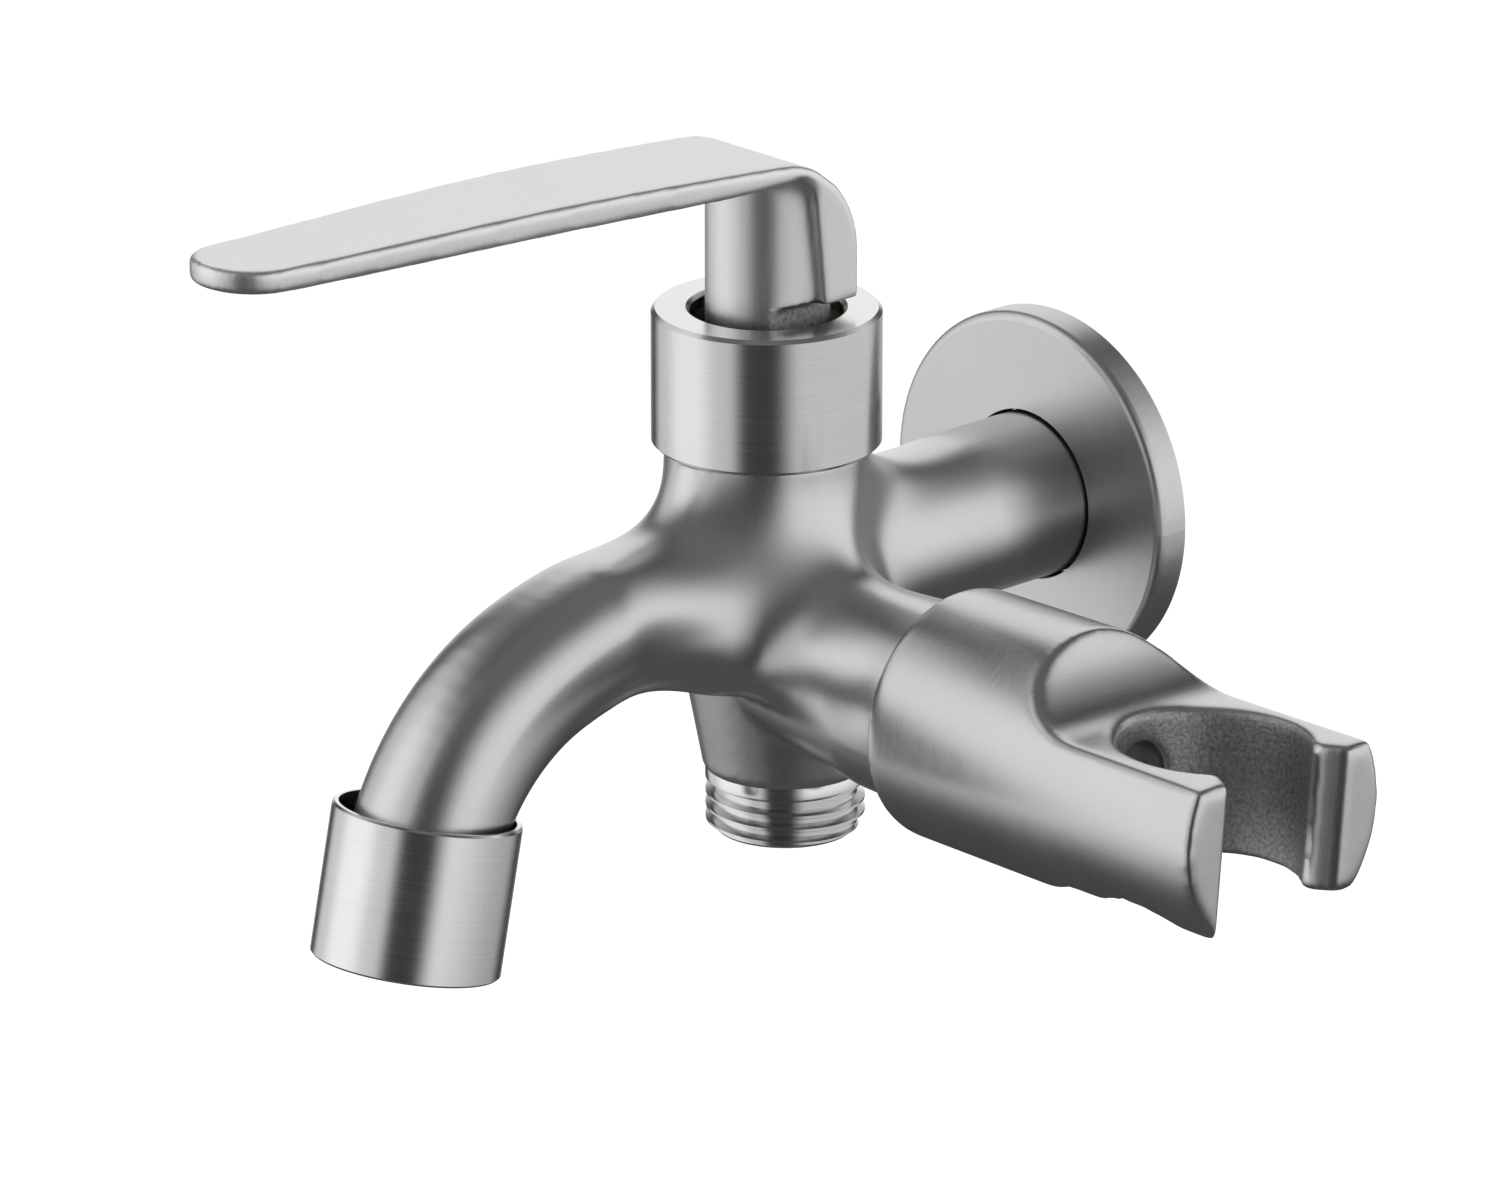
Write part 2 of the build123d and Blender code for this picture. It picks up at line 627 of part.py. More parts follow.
# Lever: the strap and neck with soft edges, then the stem trimmed to them
with BuildPart() as strap:
    with BuildSketch(Plane.YZ.offset(-STRAP_BLANK_HALF)) as strap_side:
        with BuildLine():
            top = Spline(
                lever_point((LEVER_REACH, LEVER_TIP_TOP)),
                *[strap_point(point) for point in reversed(STRAP_TOP)],
                lever_point(CREST),
                tangents=(TIP_SLOPE, CREST_SLOPE),
            )
            bend = TangentArc(top @ 1, lever_point((-NECK_BACK, BEND_START)), tangent=top % 1)
            back = Line(bend @ 1, lever_point((-NECK_BACK, NECK_BOTTOM)))
            base = Line(back @ 1, lever_point((NECK_FACE_LOW, NECK_BOTTOM)))
            face = Line(base @ 1, lever_point((NECK_FACE_HIGH, NECK_FACE_TOP)))
            corner = TangentArc(face @ 1, lever_point(UNDER_CORNER), tangent=face % 1)
            under = Spline(
                corner @ 1,
                *[strap_point(point) for point in reversed(STRAP_UNDER)],
                lever_point((LEVER_REACH, LEVER_TIP_UNDER)),
            )
            Line(under @ 1, top @ 0)
        make_face()
    extrude(strap_side.sketch, amount=2 * STRAP_BLANK_HALF)
    with BuildSketch(tower_plane) as strap_plan:
        with BuildLine():
            tip_start = LEVER_REACH - LEVER_TIP_RADIUS
            right = Spline(
                (LEVER_HALF_WIDTHS[0][1], NECK_BACK + EASY),
                *[(half, -share * LEVER_REACH) for share, half in LEVER_HALF_WIDTHS],
                (LEVER_TIP_RADIUS, -tip_start),
            )
            tip = ThreePointArc(right @ 1, (0, -LEVER_REACH), (-LEVER_TIP_RADIUS, -tip_start))
            left = Spline(
                tip @ 1,
                *[(-half, -share * LEVER_REACH) for share, half in reversed(LEVER_HALF_WIDTHS)],
                (-LEVER_HALF_WIDTHS[0][1], NECK_BACK + EASY),
            )
            Line(left @ 1, right @ 0)
        make_face()
    extrude(strap_plan.sketch, amount=LEVER_TIP_TOP + STEM_RADIUS, mode=Mode.INTERSECT)
    base_edges = strap.edges().filter_by_position(Axis.Z, NECK_BOTTOM - SAME_PLACE, NECK_BOTTOM + SAME_PLACE)
    fillet(strap.edges() - base_edges, radius=LEVER_EDGE_ROUND)

with BuildPart() as lever:
    with BuildSketch(Plane.YZ.offset(-STRAP_BLANK_HALF)) as stem_side:
        with BuildLine():
            stem_bend = TangentArc(
                lever_point(CREST),
                lever_point((-NECK_BACK, BEND_START)),
                tangent=CREST_SLOPE,
            )
            Polyline(
                stem_bend @ 1,
                lever_point((-NECK_BACK, NECK_BOTTOM)),
                lever_point((STEM_RADIUS, NECK_BOTTOM)),
                lever_point((STEM_RADIUS, STEM_TOP)),
                stem_bend @ 0,
            )
        make_face()
    extrude(stem_side.sketch, amount=2 * STRAP_BLANK_HALF)
    turn_tube(tower_plane, 0, STEM_RADIUS, NECK_BOTTOM, LEVER_TIP_TOP, Mode.INTERSECT)
    turn_tube(tower_plane, 0, STEM_RADIUS, STEM_BOTTOM, NECK_BOTTOM)
    with BuildSketch(tower_plane.offset(STEM_BOTTOM)) as stem_flats:
        with Locations((STEM_FLAT_REACH + STEM_RADIUS, 0), (-STEM_FLAT_REACH - STEM_RADIUS, 0)):
            Rectangle(2 * STEM_RADIUS, 2 * STEM_RADIUS)
    extrude(stem_flats.sketch, amount=STEM_FLAT_TOP - STEM_BOTTOM, mode=Mode.SUBTRACT)
    add(strap.part)
    socket_depth = SEAT_HEIGHT + SPINDLE_TOP + SOCKET_ROOM - STEM_BOTTOM
    socket = spline_profile(tower_plane.offset(STEM_BOTTOM), RUNNING)
    extrude(socket, amount=socket_depth, mode=Mode.SUBTRACT)
    with BuildSketch(grub_plane) as grub_hole:
        Circle(GRUB_RADIUS)
    extrude(grub_hole.sketch, amount=NECK_BACK, mode=Mode.SUBTRACT)
export(lever, "lever")

# Screw that locks the lever on the splines
with BuildPart() as grub_screw:
    with BuildSketch(grub_plane.offset(GRUB_SINK)) as grub_round:
        Circle(GRUB_RADIUS - RUNNING)
    grub_length = NECK_BACK - GRUB_SINK - SPLINE_RADIUS - RUNNING
    extrude(grub_round.sketch, amount=grub_length)
    with BuildSketch(grub_plane.offset(GRUB_SINK)) as grub_socket:
        RegularPolygon(GRUB_SOCKET / 2, 6, major_radius=False)
    extrude(grub_socket.sketch, amount=GRUB_SOCKET_DEPTH, mode=Mode.SUBTRACT)
export(grub_screw, "lever_grub_screw")

# Round flange that covers the hole in the wall
with BuildPart() as wall_flange:
    turn(
        wall_plane,
        [
            (FLANGE_HOLE_RADIUS, -FLANGE_THICKNESS),
            (FLANGE_RADIUS, -FLANGE_THICKNESS),
            (FLANGE_RADIUS, 0),
            (FLANGE_RADIUS - FLANGE_BACK_WALL, 0),
            (FLANGE_RADIUS - FLANGE_BACK_WALL, -FLANGE_BACK_DEPTH),
            (FLANGE_HUB_RADIUS, -FLANGE_BACK_DEPTH),
            (FLANGE_HUB_RADIUS, 0),
            (FLANGE_HOLE_RADIUS, 0),
        ],
    )
    rim = wall_flange.edges().filter_by(GeomType.CIRCLE).sort_by(Axis.Y)[:2].sort_by(SortBy.RADIUS)[-1]
    fillet(rim, radius=FLANGE_EDGE_ROUND)
    turn_tube(
        wall_plane,
        FLANGE_HOLE_RADIUS - LOOSE,
        grip_groove_radius,
        -GRIP_DEPTH - GRIP_GROOVE_WIDTH / 2,
        -GRIP_DEPTH + GRIP_GROOVE_WIDTH / 2,
        Mode.SUBTRACT,
    )
export(wall_flange, "wall_flange")

# Rubber ring that grips the pipe inside the flange
with BuildPart() as grip_ring:
    turn_rings(wall_plane, GRIP_WIRE, PIPE_RADIUS + GRIP_SLACK + GRIP_WIRE, [-GRIP_DEPTH])
export(grip_ring, "flange_grip_ring")

# Foam ring in the back of the flange
with BuildPart() as wall_gasket:
    turn_tube(
        wall_plane,
        FLANGE_HUB_RADIUS + LOOSE,
        FLANGE_RADIUS - FLANGE_BACK_WALL - LOOSE,
        -FLANGE_BACK_DEPTH,
        0,
    )
export(wall_gasket, "wall_gasket")

# Turned sleeve on the spout's end, with heights down from its top
with BuildPart() as sleeve:
    turn(
        sleeve_plane,
        [
            (SLEEVE_SKIRT_RADIUS, 0),
            (SLEEVE_RADIUS - SLEEVE_EDGE, 0),
            (SLEEVE_RADIUS, SLEEVE_EDGE),
            (SLEEVE_RADIUS, SLEEVE_LENGTH - SLEEVE_EDGE),
            (SLEEVE_RADIUS - SLEEVE_EDGE, SLEEVE_LENGTH),
            (SLEEVE_LIP_RADIUS, SLEEVE_LENGTH),
            (SLEEVE_LIP_RADIUS, SLEEVE_LENGTH - SLEEVE_LIP),
            (SLEEVE_CHAMBER_RADIUS, SLEEVE_LENGTH - SLEEVE_LIP),
            (SLEEVE_CHAMBER_RADIUS, chamber_top),
            (SPOUT_RADIUS + LOOSE, chamber_top),
            (SPOUT_RADIUS + LOOSE, SLEEVE_SKIRT_DEPTH),
            (SLEEVE_SKIRT_RADIUS, SLEEVE_SKIRT_DEPTH),
        ],
    )
export(sleeve, "aerator_housing")

# Rubber washer between the spout's end and the jet former
with BuildPart() as aerator_washer:
    turn_tube(
        sleeve_plane,
        SPOUT_BORE_RADIUS + LOOSE,
        SLEEVE_CHAMBER_RADIUS - LOOSE,
        chamber_top,
        insert_top,
    )
export(aerator_washer, "aerator_washer")

# Plastic jet former: a cup with rings of holes in its floor
with BuildPart() as insert:
    turn_tube(sleeve_plane, 0, SLEEVE_CHAMBER_RADIUS - LOOSE, insert_top, insert_end)
    turn_tube(
        sleeve_plane,
        0,
        SLEEVE_CHAMBER_RADIUS - LOOSE - AERATOR_WALL,
        insert_top,
        insert_end - AERATOR_GRID_THICKNESS,
        Mode.SUBTRACT,
    )
    cut_jets(insert_end, AERATOR_GRID_THICKNESS)
export(insert, "aerator_insert")

# Fine screens stacked in the jet former
with BuildPart() as screens:
    for number in range(SCREEN_COUNT):
        low = screen_low + number * (SCREEN_THICKNESS + SCREEN_GAP)
        turn_tube(sleeve_plane, 0, screen_radius, low, low + SCREEN_THICKNESS)
    cut_jets(insert_end - AERATOR_GRID_THICKNESS, insert_end - AERATOR_GRID_THICKNESS - insert_top)
export(screens, "aerator_screens")

# Sprayer holder: a slightly tapered round bar with scoops, a cradle and its screw hole
with BuildPart() as holder:
    turn(
        arm_plane,
        [
            (0, HOLDER_START),
            (HOLDER_START_RADIUS, HOLDER_START),
            (HOLDER_END_RADIUS, HOLDER_END),
            (0, HOLDER_END),
        ],
    )
    ends = holder.edges().filter_by(GeomType.CIRCLE)
    fillet(ends, radius=HOLDER_EDGE_ROUND)
    cut_scoop(TOP_SCOOP_FLAT, HOLDER_TOP_FLAT, TOP_FLAT_LEAN, 1)
    cut_scoop(BOTTOM_SCOOP_FLAT, HOLDER_BOTTOM_FLAT, BOTTOM_FLAT_LEAN, -1)
    turn_tube(arm_plane, 0, HOLDER_SOCKET_RADIUS, HOLDER_START, HOLDER_SOCKET_END, Mode.SUBTRACT)
    turn_tube(arm_plane, 0, HEAD_HOLE_RADIUS, head_seat, CRADLE_CENTRE, Mode.SUBTRACT)
    turn_tube(arm_plane, 0, SCREW_RADIUS + LOOSE, HOLDER_SOCKET_END, head_seat, Mode.SUBTRACT)
    with BuildSketch(cradle_plane) as cradle:
        Circle(CRADLE_RADIUS)
        with BuildLine():
            Polyline(
                (0, -MOUTH_NECK),
                (mouth_start, -MOUTH_NECK),
                (mouth_end, -mouth_end_half),
                (mouth_end, mouth_end_half),
                (mouth_start, MOUTH_NECK),
                (0, MOUTH_NECK),
                close=True,
            )
        make_face()
        lips = cradle.vertices().filter_by_position(Axis.X, mouth_start - EASY, mouth_start + EASY)
        fillet(lips, radius=MOUTH_CORNER)
    extrude(cradle.sketch, amount=HOLDER_END_RADIUS + CRADLE_RADIUS, both=True, mode=Mode.SUBTRACT)
export(holder, "sprayer_holder")

# Plastic bush that the holder turns on
with BuildPart() as bush:
    turn_tube(
        arm_plane,
        SPIGOT_RADIUS + RUNNING,
        HOLDER_SOCKET_RADIUS - RUNNING,
        HOLDER_START,
        SPIGOT_END,
    )
export(bush, "arm_bush")

# Spring washer under the holder's screw
with BuildPart() as holder_washer:
    turn_tube(arm_plane, SCREW_RADIUS + LOOSE, SCREW_HEAD_RADIUS, head_seat, head_seat + SCREW_WASHER)
export(holder_washer, "holder_washer")

# Socket screw that holds the holder on the arm
with BuildPart() as holder_screw:
    head_low = head_seat + SCREW_WASHER
    head_top = head_low + SCREW_HEAD_HEIGHT
    turn_tube(arm_plane, 0, SCREW_RADIUS - RUNNING, SCREW_HOLE_END + EASY, head_low)
    turn_tube(arm_plane, 0, SCREW_HEAD_RADIUS, head_low, head_top)
    with BuildSketch(arm_plane.offset(head_top)) as hexagon:
        RegularPolygon(SCREW_SOCKET / 2, 6, major_radius=False)
    extrude(hexagon.sketch, amount=-SCREW_SOCKET_DEPTH, mode=Mode.SUBTRACT)
export(holder_screw, "holder_screw")
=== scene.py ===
# %% [markdown]
# This file dresses a two-way wall tap in satin stainless steel.
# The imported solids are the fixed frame: every piece made here lies where a solid says, in metres.
# Castings get a soft skin, threads and small wire parts get their true shape, and each material is
# built from nodes.

# %% Load the frame
import math

import bmesh
import bpy
import numpy as np
from mathutils import Matrix, Vector


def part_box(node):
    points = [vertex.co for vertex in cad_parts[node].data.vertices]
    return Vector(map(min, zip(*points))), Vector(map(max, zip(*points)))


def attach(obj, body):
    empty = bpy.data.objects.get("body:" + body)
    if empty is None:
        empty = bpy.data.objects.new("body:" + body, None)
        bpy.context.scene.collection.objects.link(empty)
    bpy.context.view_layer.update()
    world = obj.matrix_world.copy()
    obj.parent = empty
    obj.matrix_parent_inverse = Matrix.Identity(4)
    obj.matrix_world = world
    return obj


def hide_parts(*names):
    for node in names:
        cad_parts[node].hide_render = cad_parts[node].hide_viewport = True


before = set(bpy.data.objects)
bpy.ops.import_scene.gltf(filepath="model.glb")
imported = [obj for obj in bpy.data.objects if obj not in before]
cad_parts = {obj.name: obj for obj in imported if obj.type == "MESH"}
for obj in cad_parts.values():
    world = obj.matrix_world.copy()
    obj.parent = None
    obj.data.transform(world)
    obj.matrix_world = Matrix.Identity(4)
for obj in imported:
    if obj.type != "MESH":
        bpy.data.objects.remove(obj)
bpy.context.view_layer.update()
MM = 0.001

# %% [markdown]
# The places that the pieces share are read from the solids' boxes.
# The tower's axis is the ring's middle, the arm's axis the bush's, and the outlet hangs under the
# body.
# The spout's tip is a slanted sleeve, whose axis is found from the points of the round washer in it.

# %% Shared places
ring_low, ring_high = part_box("bonnet_ring")
bush_low, bush_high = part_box("arm_bush")
body_low, body_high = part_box("body")
tower = (ring_low + ring_high) / 2
arm = (bush_low + bush_high) / 2
OUTLET_OFFSET = 3.4 * MM
outlet = Vector((0, tower.y + OUTLET_OFFSET, body_low.z))


def round_axis(node):
    """Middle and direction of a turned piece that leans in the YZ plane."""
    points = np.array([v.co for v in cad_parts[node].data.vertices])
    middle = points.mean(axis=0)
    spread = np.linalg.eigh(np.cov((points - middle).T))[1]
    along = max(spread.T, key=lambda direction: abs(direction[2]))
    return Vector(middle), Vector(along * -np.sign(along[2]))


sleeve_middle, sleeve_way = round_axis("aerator_washer")
print("tower axis", tower[:], "arm axis", arm[:], "sleeve leans", sleeve_way[:])

# %% [markdown]
# The photograph was taken from the right and a little above, from about a metre and a half away,
# so the camera has a long lens.
# Its place was worked out from the round parts, whose real shape is known.

# %% Camera
CAMERA_AZIMUTH = math.radians(46.364)
CAMERA_HEIGHT_ANGLE = math.radians(19.202)
CAMERA_DISTANCE = 1.5
CAMERA_LENS = 276.7
SENSOR_WIDTH = 36
AIM_RIGHT = -2.17 * MM
AIM_UP = -3.25 * MM
away = Vector((math.sin(CAMERA_AZIMUTH), -math.cos(CAMERA_AZIMUTH), 0))
rightward = Vector((math.cos(CAMERA_AZIMUTH), math.sin(CAMERA_AZIMUTH), 0))
back = away * math.cos(CAMERA_HEIGHT_ANGLE) + Vector((0, 0, math.sin(CAMERA_HEIGHT_ANGLE)))
upward = back.cross(rightward)
CAMERA_TARGET = Vector((0, -52.47 * MM, 0))
camera = bpy.data.objects.new("camera", bpy.data.cameras.new("camera"))
bpy.context.scene.collection.objects.link(camera)
bpy.context.scene.camera = camera
camera.data.sensor_width = SENSOR_WIDTH
camera.data.lens = CAMERA_LENS
camera.location = CAMERA_TARGET + back * CAMERA_DISTANCE
aim = CAMERA_TARGET + rightward * AIM_RIGHT + upward * AIM_UP
camera.rotation_mode = "QUATERNION"
camera.rotation_quaternion = (camera.location - aim).to_track_quat("Z", "Y")
bpy.context.scene.view_settings.view_transform = "Standard"
print("camera at", camera.location[:])

# %% [markdown]
# Shader maths reads best as plain expressions.
# A wire is one socket of a shader, and sums and products of wires add their Math nodes.
# Every other node comes from one call: its type, its settings, and what its sockets hold.


# %% Shader helpers
class Wire:
    """A shader socket that can stand in sums and products."""

    def __init__(self, graph, socket):
        self.graph = graph
        self.socket = socket

    def join(self, operation, first, second):
        return self.graph.add("ShaderNodeMath", {"operation": operation}, {0: first, 1: second})

    def __add__(self, other):
        return self.join("ADD", self, other)

    def __sub__(self, other):
        return self.join("SUBTRACT", self, other)

    def __rsub__(self, other):
        return self.join("SUBTRACT", other, self)

    def __mul__(self, other):
        return self.join("MULTIPLY", self, other)

    __radd__ = __add__
    __rmul__ = __mul__


class Graph:
    """The node tree of a material or of the world."""

    def __init__(self, owner):
        owner.use_nodes = True
        self.tree = owner.node_tree
        self.tree.nodes.clear()

    def add(self, kind, settings=None, sockets=None, out=0):
        node = self.tree.nodes.new(kind)
        for name, value in (settings or {}).items():
            setattr(node, name, value)
        for name, value in (sockets or {}).items():
            if isinstance(value, Wire):
                self.tree.links.new(value.socket, node.inputs[name])
            else:
                node.inputs[name].default_value = value
        return Wire(self, node.outputs[out]) if len(node.outputs) else node

    def smooth(self, wire, low, high):
        """0 below low and 1 above high, with a soft step between; the other way round if low is higher."""
        return self.add(
            "ShaderNodeMapRange",
            {"interpolation_type": "SMOOTHSTEP"},
            {"Value": wire, "From Min": low, "From Max": high},
        )


# %% [markdown]
# Bare steel shows its surroundings, so the studio is what gives it form.
# The photograph shows a wide soft box on the left, a smaller one on the right, a dark gap where the
# camera stands, and the white background behind.
# The world is painted with those panels by direction.
# Camera rays see plain white instead.

# %% Studio
PANEL_BASE = 0.05
TOP_FILL = 0.12
TOP_ANGLES = (35, 75)
BOTTOM_FILL = 0.05
BOTTOM_ANGLES = (-25, -60)
# each panel: angle from the camera's side, half width and soft edge,
# then height angle, half height and soft edge, all in degrees, and its strength
PANELS = (
    (-85, 55, 16, 12, 42, 36, 0.72),
    (-85, 24, 24, 12, 42, 36, 0.42),
    (78, 57, 28, 8, 30, 36, 1.02),
    (180, 17, 16, 18, 36, 24, 1.05),
    (-180, 17, 16, 18, 36, 24, 1.05),
)
world = bpy.data.worlds.new("studio")
bpy.context.scene.world = world
studio = Graph(world)
direction = studio.add("ShaderNodeTexCoord", out="Generated")


def along(way):
    """How far the direction points a given way."""
    settings = {"operation": "DOT_PRODUCT"}
    return studio.add("ShaderNodeVectorMath", settings, {0: direction, 1: way}, out="Value")


def band(angle, middle, half, edge):
    """1 inside a band of angles, in degrees, with soft edges."""
    off = studio.add("ShaderNodeMath", {"operation": "ABSOLUTE"}, {0: angle - middle})
    return studio.smooth(off, half + edge / 2, half - edge / 2)


round_angle = along(rightward).join("ARCTAN2", along(rightward), along(away)) * math.degrees(1)
rise_angle = studio.add("ShaderNodeMath", {"operation": "ARCSINE"}, {0: along((0, 0, 1))}) * math.degrees(1)
top_light = studio.smooth(rise_angle, *TOP_ANGLES) * TOP_FILL
bottom_light = studio.smooth(rise_angle, *BOTTOM_ANGLES) * BOTTOM_FILL
light = top_light + bottom_light + PANEL_BASE
for middle, half, edge, height, half_height, height_edge, strength in PANELS:
    panel = band(round_angle, middle, half, edge) * band(rise_angle, height, half_height, height_edge)
    light = light + panel * strength
seen = studio.add("ShaderNodeLightPath", out="Is Camera Ray")
brightness = light * (1 - seen) + seen
surface = studio.add("ShaderNodeBackground", sockets={"Color": (1, 1, 1, 1), "Strength": brightness})
studio.add("ShaderNodeOutputWorld", sockets={"Surface": surface})
print("studio panels:", len(PANELS))

# %% [markdown]
# The tap floats in the photograph on plain white.
# A large pale floor lies well below it, and an overhead lamp gives a soft shadow there.
# The camera sees the floor partly as glowing paper, so that it ends in the white of the world.
# Neither floor nor lamp shows in the steel, which reflects the painted studio alone.

# %% Floor and lamp
FLOOR_DROP = 0.35
FLOOR_HALF = 6.0
PAPER = (0.9, 0.9, 0.9, 1)
PAPER_GLOW = 0.72
LAMP_HEIGHT = 2.2
LAMP_SIZE = 2.5
LAMP_POWER = 110


def plain_material(name):
    """A new material and its empty node tree."""
    material = bpy.data.materials.new(name)
    return material, Graph(material)


floor_mesh = bpy.data.meshes.new("floor")
corners = [(x * FLOOR_HALF, y * FLOOR_HALF, -FLOOR_DROP) for x, y in ((-1, -1), (1, -1), (1, 1), (-1, 1))]
floor_mesh.from_pydata(corners, [], [(0, 1, 2, 3)])
floor = bpy.data.objects.new("floor", floor_mesh)
bpy.context.scene.collection.objects.link(floor)
floor.visible_glossy = False
floor_paint, paper = plain_material("floor")
paper_cover = paper.add("ShaderNodeBsdfDiffuse", sockets={"Color": PAPER})
paper_glow = paper.add("ShaderNodeEmission", sockets={"Color": (1, 1, 1, 1), "Strength": 1.0})
seen = paper.add("ShaderNodeLightPath", out="Is Camera Ray")
cover = paper.add("ShaderNodeMixShader", sockets={0: seen * PAPER_GLOW, 1: paper_cover, 2: paper_glow})
paper.add("ShaderNodeOutputMaterial", sockets={"Surface": cover})
floor_mesh.materials.append(floor_paint)

lamp = bpy.data.objects.new("overhead_lamp", bpy.data.lights.new("overhead_lamp", "AREA"))
bpy.context.scene.collection.objects.link(lamp)
lamp.data.size = LAMP_SIZE
lamp.data.energy = LAMP_POWER
lamp.location = (0, tower.y, LAMP_HEIGHT)
lamp.visible_glossy = False
print("floor", -FLOOR_DROP, "lamp", LAMP_HEIGHT)

# %% [markdown]
# Steel is metal with a fine grain, so one recipe serves every steel piece.
# Its grain is a noise stretched along the brush's way: long in two directions and very short
# across the strokes.
# The same grain tints the colour, changes the gloss and scratches the surface, and a slow noise
# adds the cloudy patches that a hand-held wheel leaves.
# A piece may also have a patch that was never brushed, where coarse grit shows the rough casting.


# %% Grain
def place_in_mm(graph):
    """The place on the object in millimetres."""
    spot = graph.add("ShaderNodeTexCoord", out="Object")
    return graph.add("ShaderNodeVectorMath", {"operation": "SCALE"}, {0: spot, "Scale": 1 / MM})


def local_place(graph, middle, turn, size=(1, 1, 1)):
    """The place in mm from a middle, along turned axes, in units of a size."""
    return graph.add(
        "ShaderNodeMapping",
        {"vector_type": "TEXTURE"},
        {"Vector": place_in_mm(graph), "Location": middle, "Rotation": turn, "Scale": size},
    )


def grain(graph, size, middle=(0, 0, 0), turn=(0, 0, 0), detail=2.0):
    """Noise whose blotches have the given size in mm along the turned axes."""
    spot = local_place(graph, middle, turn, size)
    return graph.add("ShaderNodeTexNoise", sockets={"Vector": spot, "Scale": 1.0, "Detail": detail})


# %% Steel recipe
STROKE_DETAIL = 3.0
CLOUD_SIZE = (14, 14, 14)
TONE_LOW = 0.82
TONE_STROKES = 0.20
TONE_CLOUDS = 0.16
ROUGH_STROKES = 0.14
ROUGH_CLOUDS = 0.10
GRIT_SIZE = (0.5, 0.5, 0.5)
GRIT_DEPTH = 90
PATCH_DARKER = 0.3
PATCH_ROUGHER = 0.24


def tinted(graph, colour, tone):
    """The colour made lighter or darker by a wire."""
    grey = graph.add("ShaderNodeCombineColor", sockets={0: tone, 1: tone, 2: tone})
    settings = {"data_type": "RGBA", "blend_type": "MULTIPLY"}
    return graph.add("ShaderNodeMix", settings, {"Factor": 1.0, 6: (*colour, 1), 7: grey}, out=2)


def finish(graph, colour, tone, roughness, relief, metallic):
    """Join a finish to its shader; relief is a wire in micrometres."""
    bump = graph.add("ShaderNodeBump", sockets={"Height": relief, "Distance": MM * MM, "Strength": 1.0})
    colour = tinted(graph, colour, tone)
    sockets = {"Base Color": colour, "Roughness": roughness, "Metallic": metallic, "Normal": bump}
    surface = graph.add("ShaderNodeBsdfPrincipled", sockets=sockets)
    graph.add("ShaderNodeOutputMaterial", sockets={"Surface": surface})


def brushed_steel(
    name, colour, roughness, size, middle=(0, 0, 0), turn=(0, 0, 0), depth=1.0, rough_patch=None
):
    """Steel with straight strokes of a size in mm and a depth in micrometres.

    A rough patch is a function that gives a wire, 1 where the casting was never brushed.
    """
    material, graph = plain_material(name)
    strokes = grain(graph, size, middle, turn, STROKE_DETAIL)
    clouds = grain(graph, CLOUD_SIZE)
    tone = TONE_LOW + strokes * TONE_STROKES + clouds * TONE_CLOUDS
    rough = roughness + (strokes - 0.5) * ROUGH_STROKES + (clouds - 0.5) * ROUGH_CLOUDS
    relief = strokes * depth
    if rough_patch:
        patch = rough_patch(graph)
        grit = grain(graph, GRIT_SIZE, detail=STROKE_DETAIL)
        tone = tone * (1 - patch * PATCH_DARKER) + (grit - 0.5) * patch
        rough = rough + patch * PATCH_ROUGHER
        relief = relief + grit * patch * GRIT_DEPTH
    finish(graph, colour, tone, rough, relief, 1.0)
    return material


# %% [markdown]
# The lathe-turned ring and sleeve have strokes that run round them, so their grain is short along
# their axis and long across it.
# The flange was brushed upright, and the lever across its length, which shows as fine lines.
# Two places were never brushed: the cradle that the sprayer's neck sits in, and the small flats
# low on the lever's stem.
# A picture could hold such finishes too, but noise in the object's own millimetres needs no
# unwrapping and keeps its scale on every piece.

# %% Turned and brushed steel
STEEL = (0.72, 0.715, 0.71)
# The next three colours are copies of the same steel colour: darker ones on the body, flange and holder are
# painted shade, and a lighter one on the lever is painted light.
BODY_STEEL_PAINTED_SHADE = (0.63, 0.625, 0.62)
DARKER_STEEL_PAINTED_SHADE = (0.58, 0.575, 0.57)
LIGHTER_STEEL_PAINTED_LIGHT = (0.76, 0.755, 0.75)
SCREW_STEEL = (0.5, 0.5, 0.5)
CRADLE_RADIUS = 12.2
CRADLE_MIDDLE = Vector((80.7, tower.y / MM, arm.z / MM))
CRADLE_LEAN = math.radians(5.2)
CRADLE_EDGE = (0.45, 0.15)
ENDLESS = 1e6
STEM_FLAT_REACH = 6.3
STEM_FLAT_TOP = 38.7
STEM_FLAT_OUTER = (0.9, 0.5)
STEM_FLAT_INNER = (-0.5, -0.3)
STEM_FLAT_EDGE = (0.2, -0.2)


def soft_step(graph, wire, place, soft):
    """A step from 0 to 1 round a place in mm; soft holds how far off it the step begins and ends."""
    return graph.smooth(wire, place + soft[0], place + soft[1])


def cradle_patch(graph):
    """1 within the cradle's bore."""
    local = local_place(graph, CRADLE_MIDDLE, (-CRADLE_LEAN, 0, 0), (1, 1, ENDLESS))
    reach = graph.add("ShaderNodeVectorMath", {"operation": "LENGTH"}, {0: local}, out="Value")
    return soft_step(graph, reach, CRADLE_RADIUS, CRADLE_EDGE)


def stem_patch(graph):
    """1 on the flats at both sides of the stem's foot."""
    spot = place_in_mm(graph)
    across = graph.add("ShaderNodeSeparateXYZ", sockets={0: spot}, out="X")
    height = graph.add("ShaderNodeSeparateXYZ", sockets={0: spot}, out="Z")
    side = graph.add("ShaderNodeMath", {"operation": "ABSOLUTE"}, {0: across})
    low = soft_step(graph, height, STEM_FLAT_TOP, STEM_FLAT_EDGE)
    inner = soft_step(graph, side, STEM_FLAT_REACH, STEM_FLAT_INNER)
    return low * soft_step(graph, side, STEM_FLAT_REACH, STEM_FLAT_OUTER) * inner


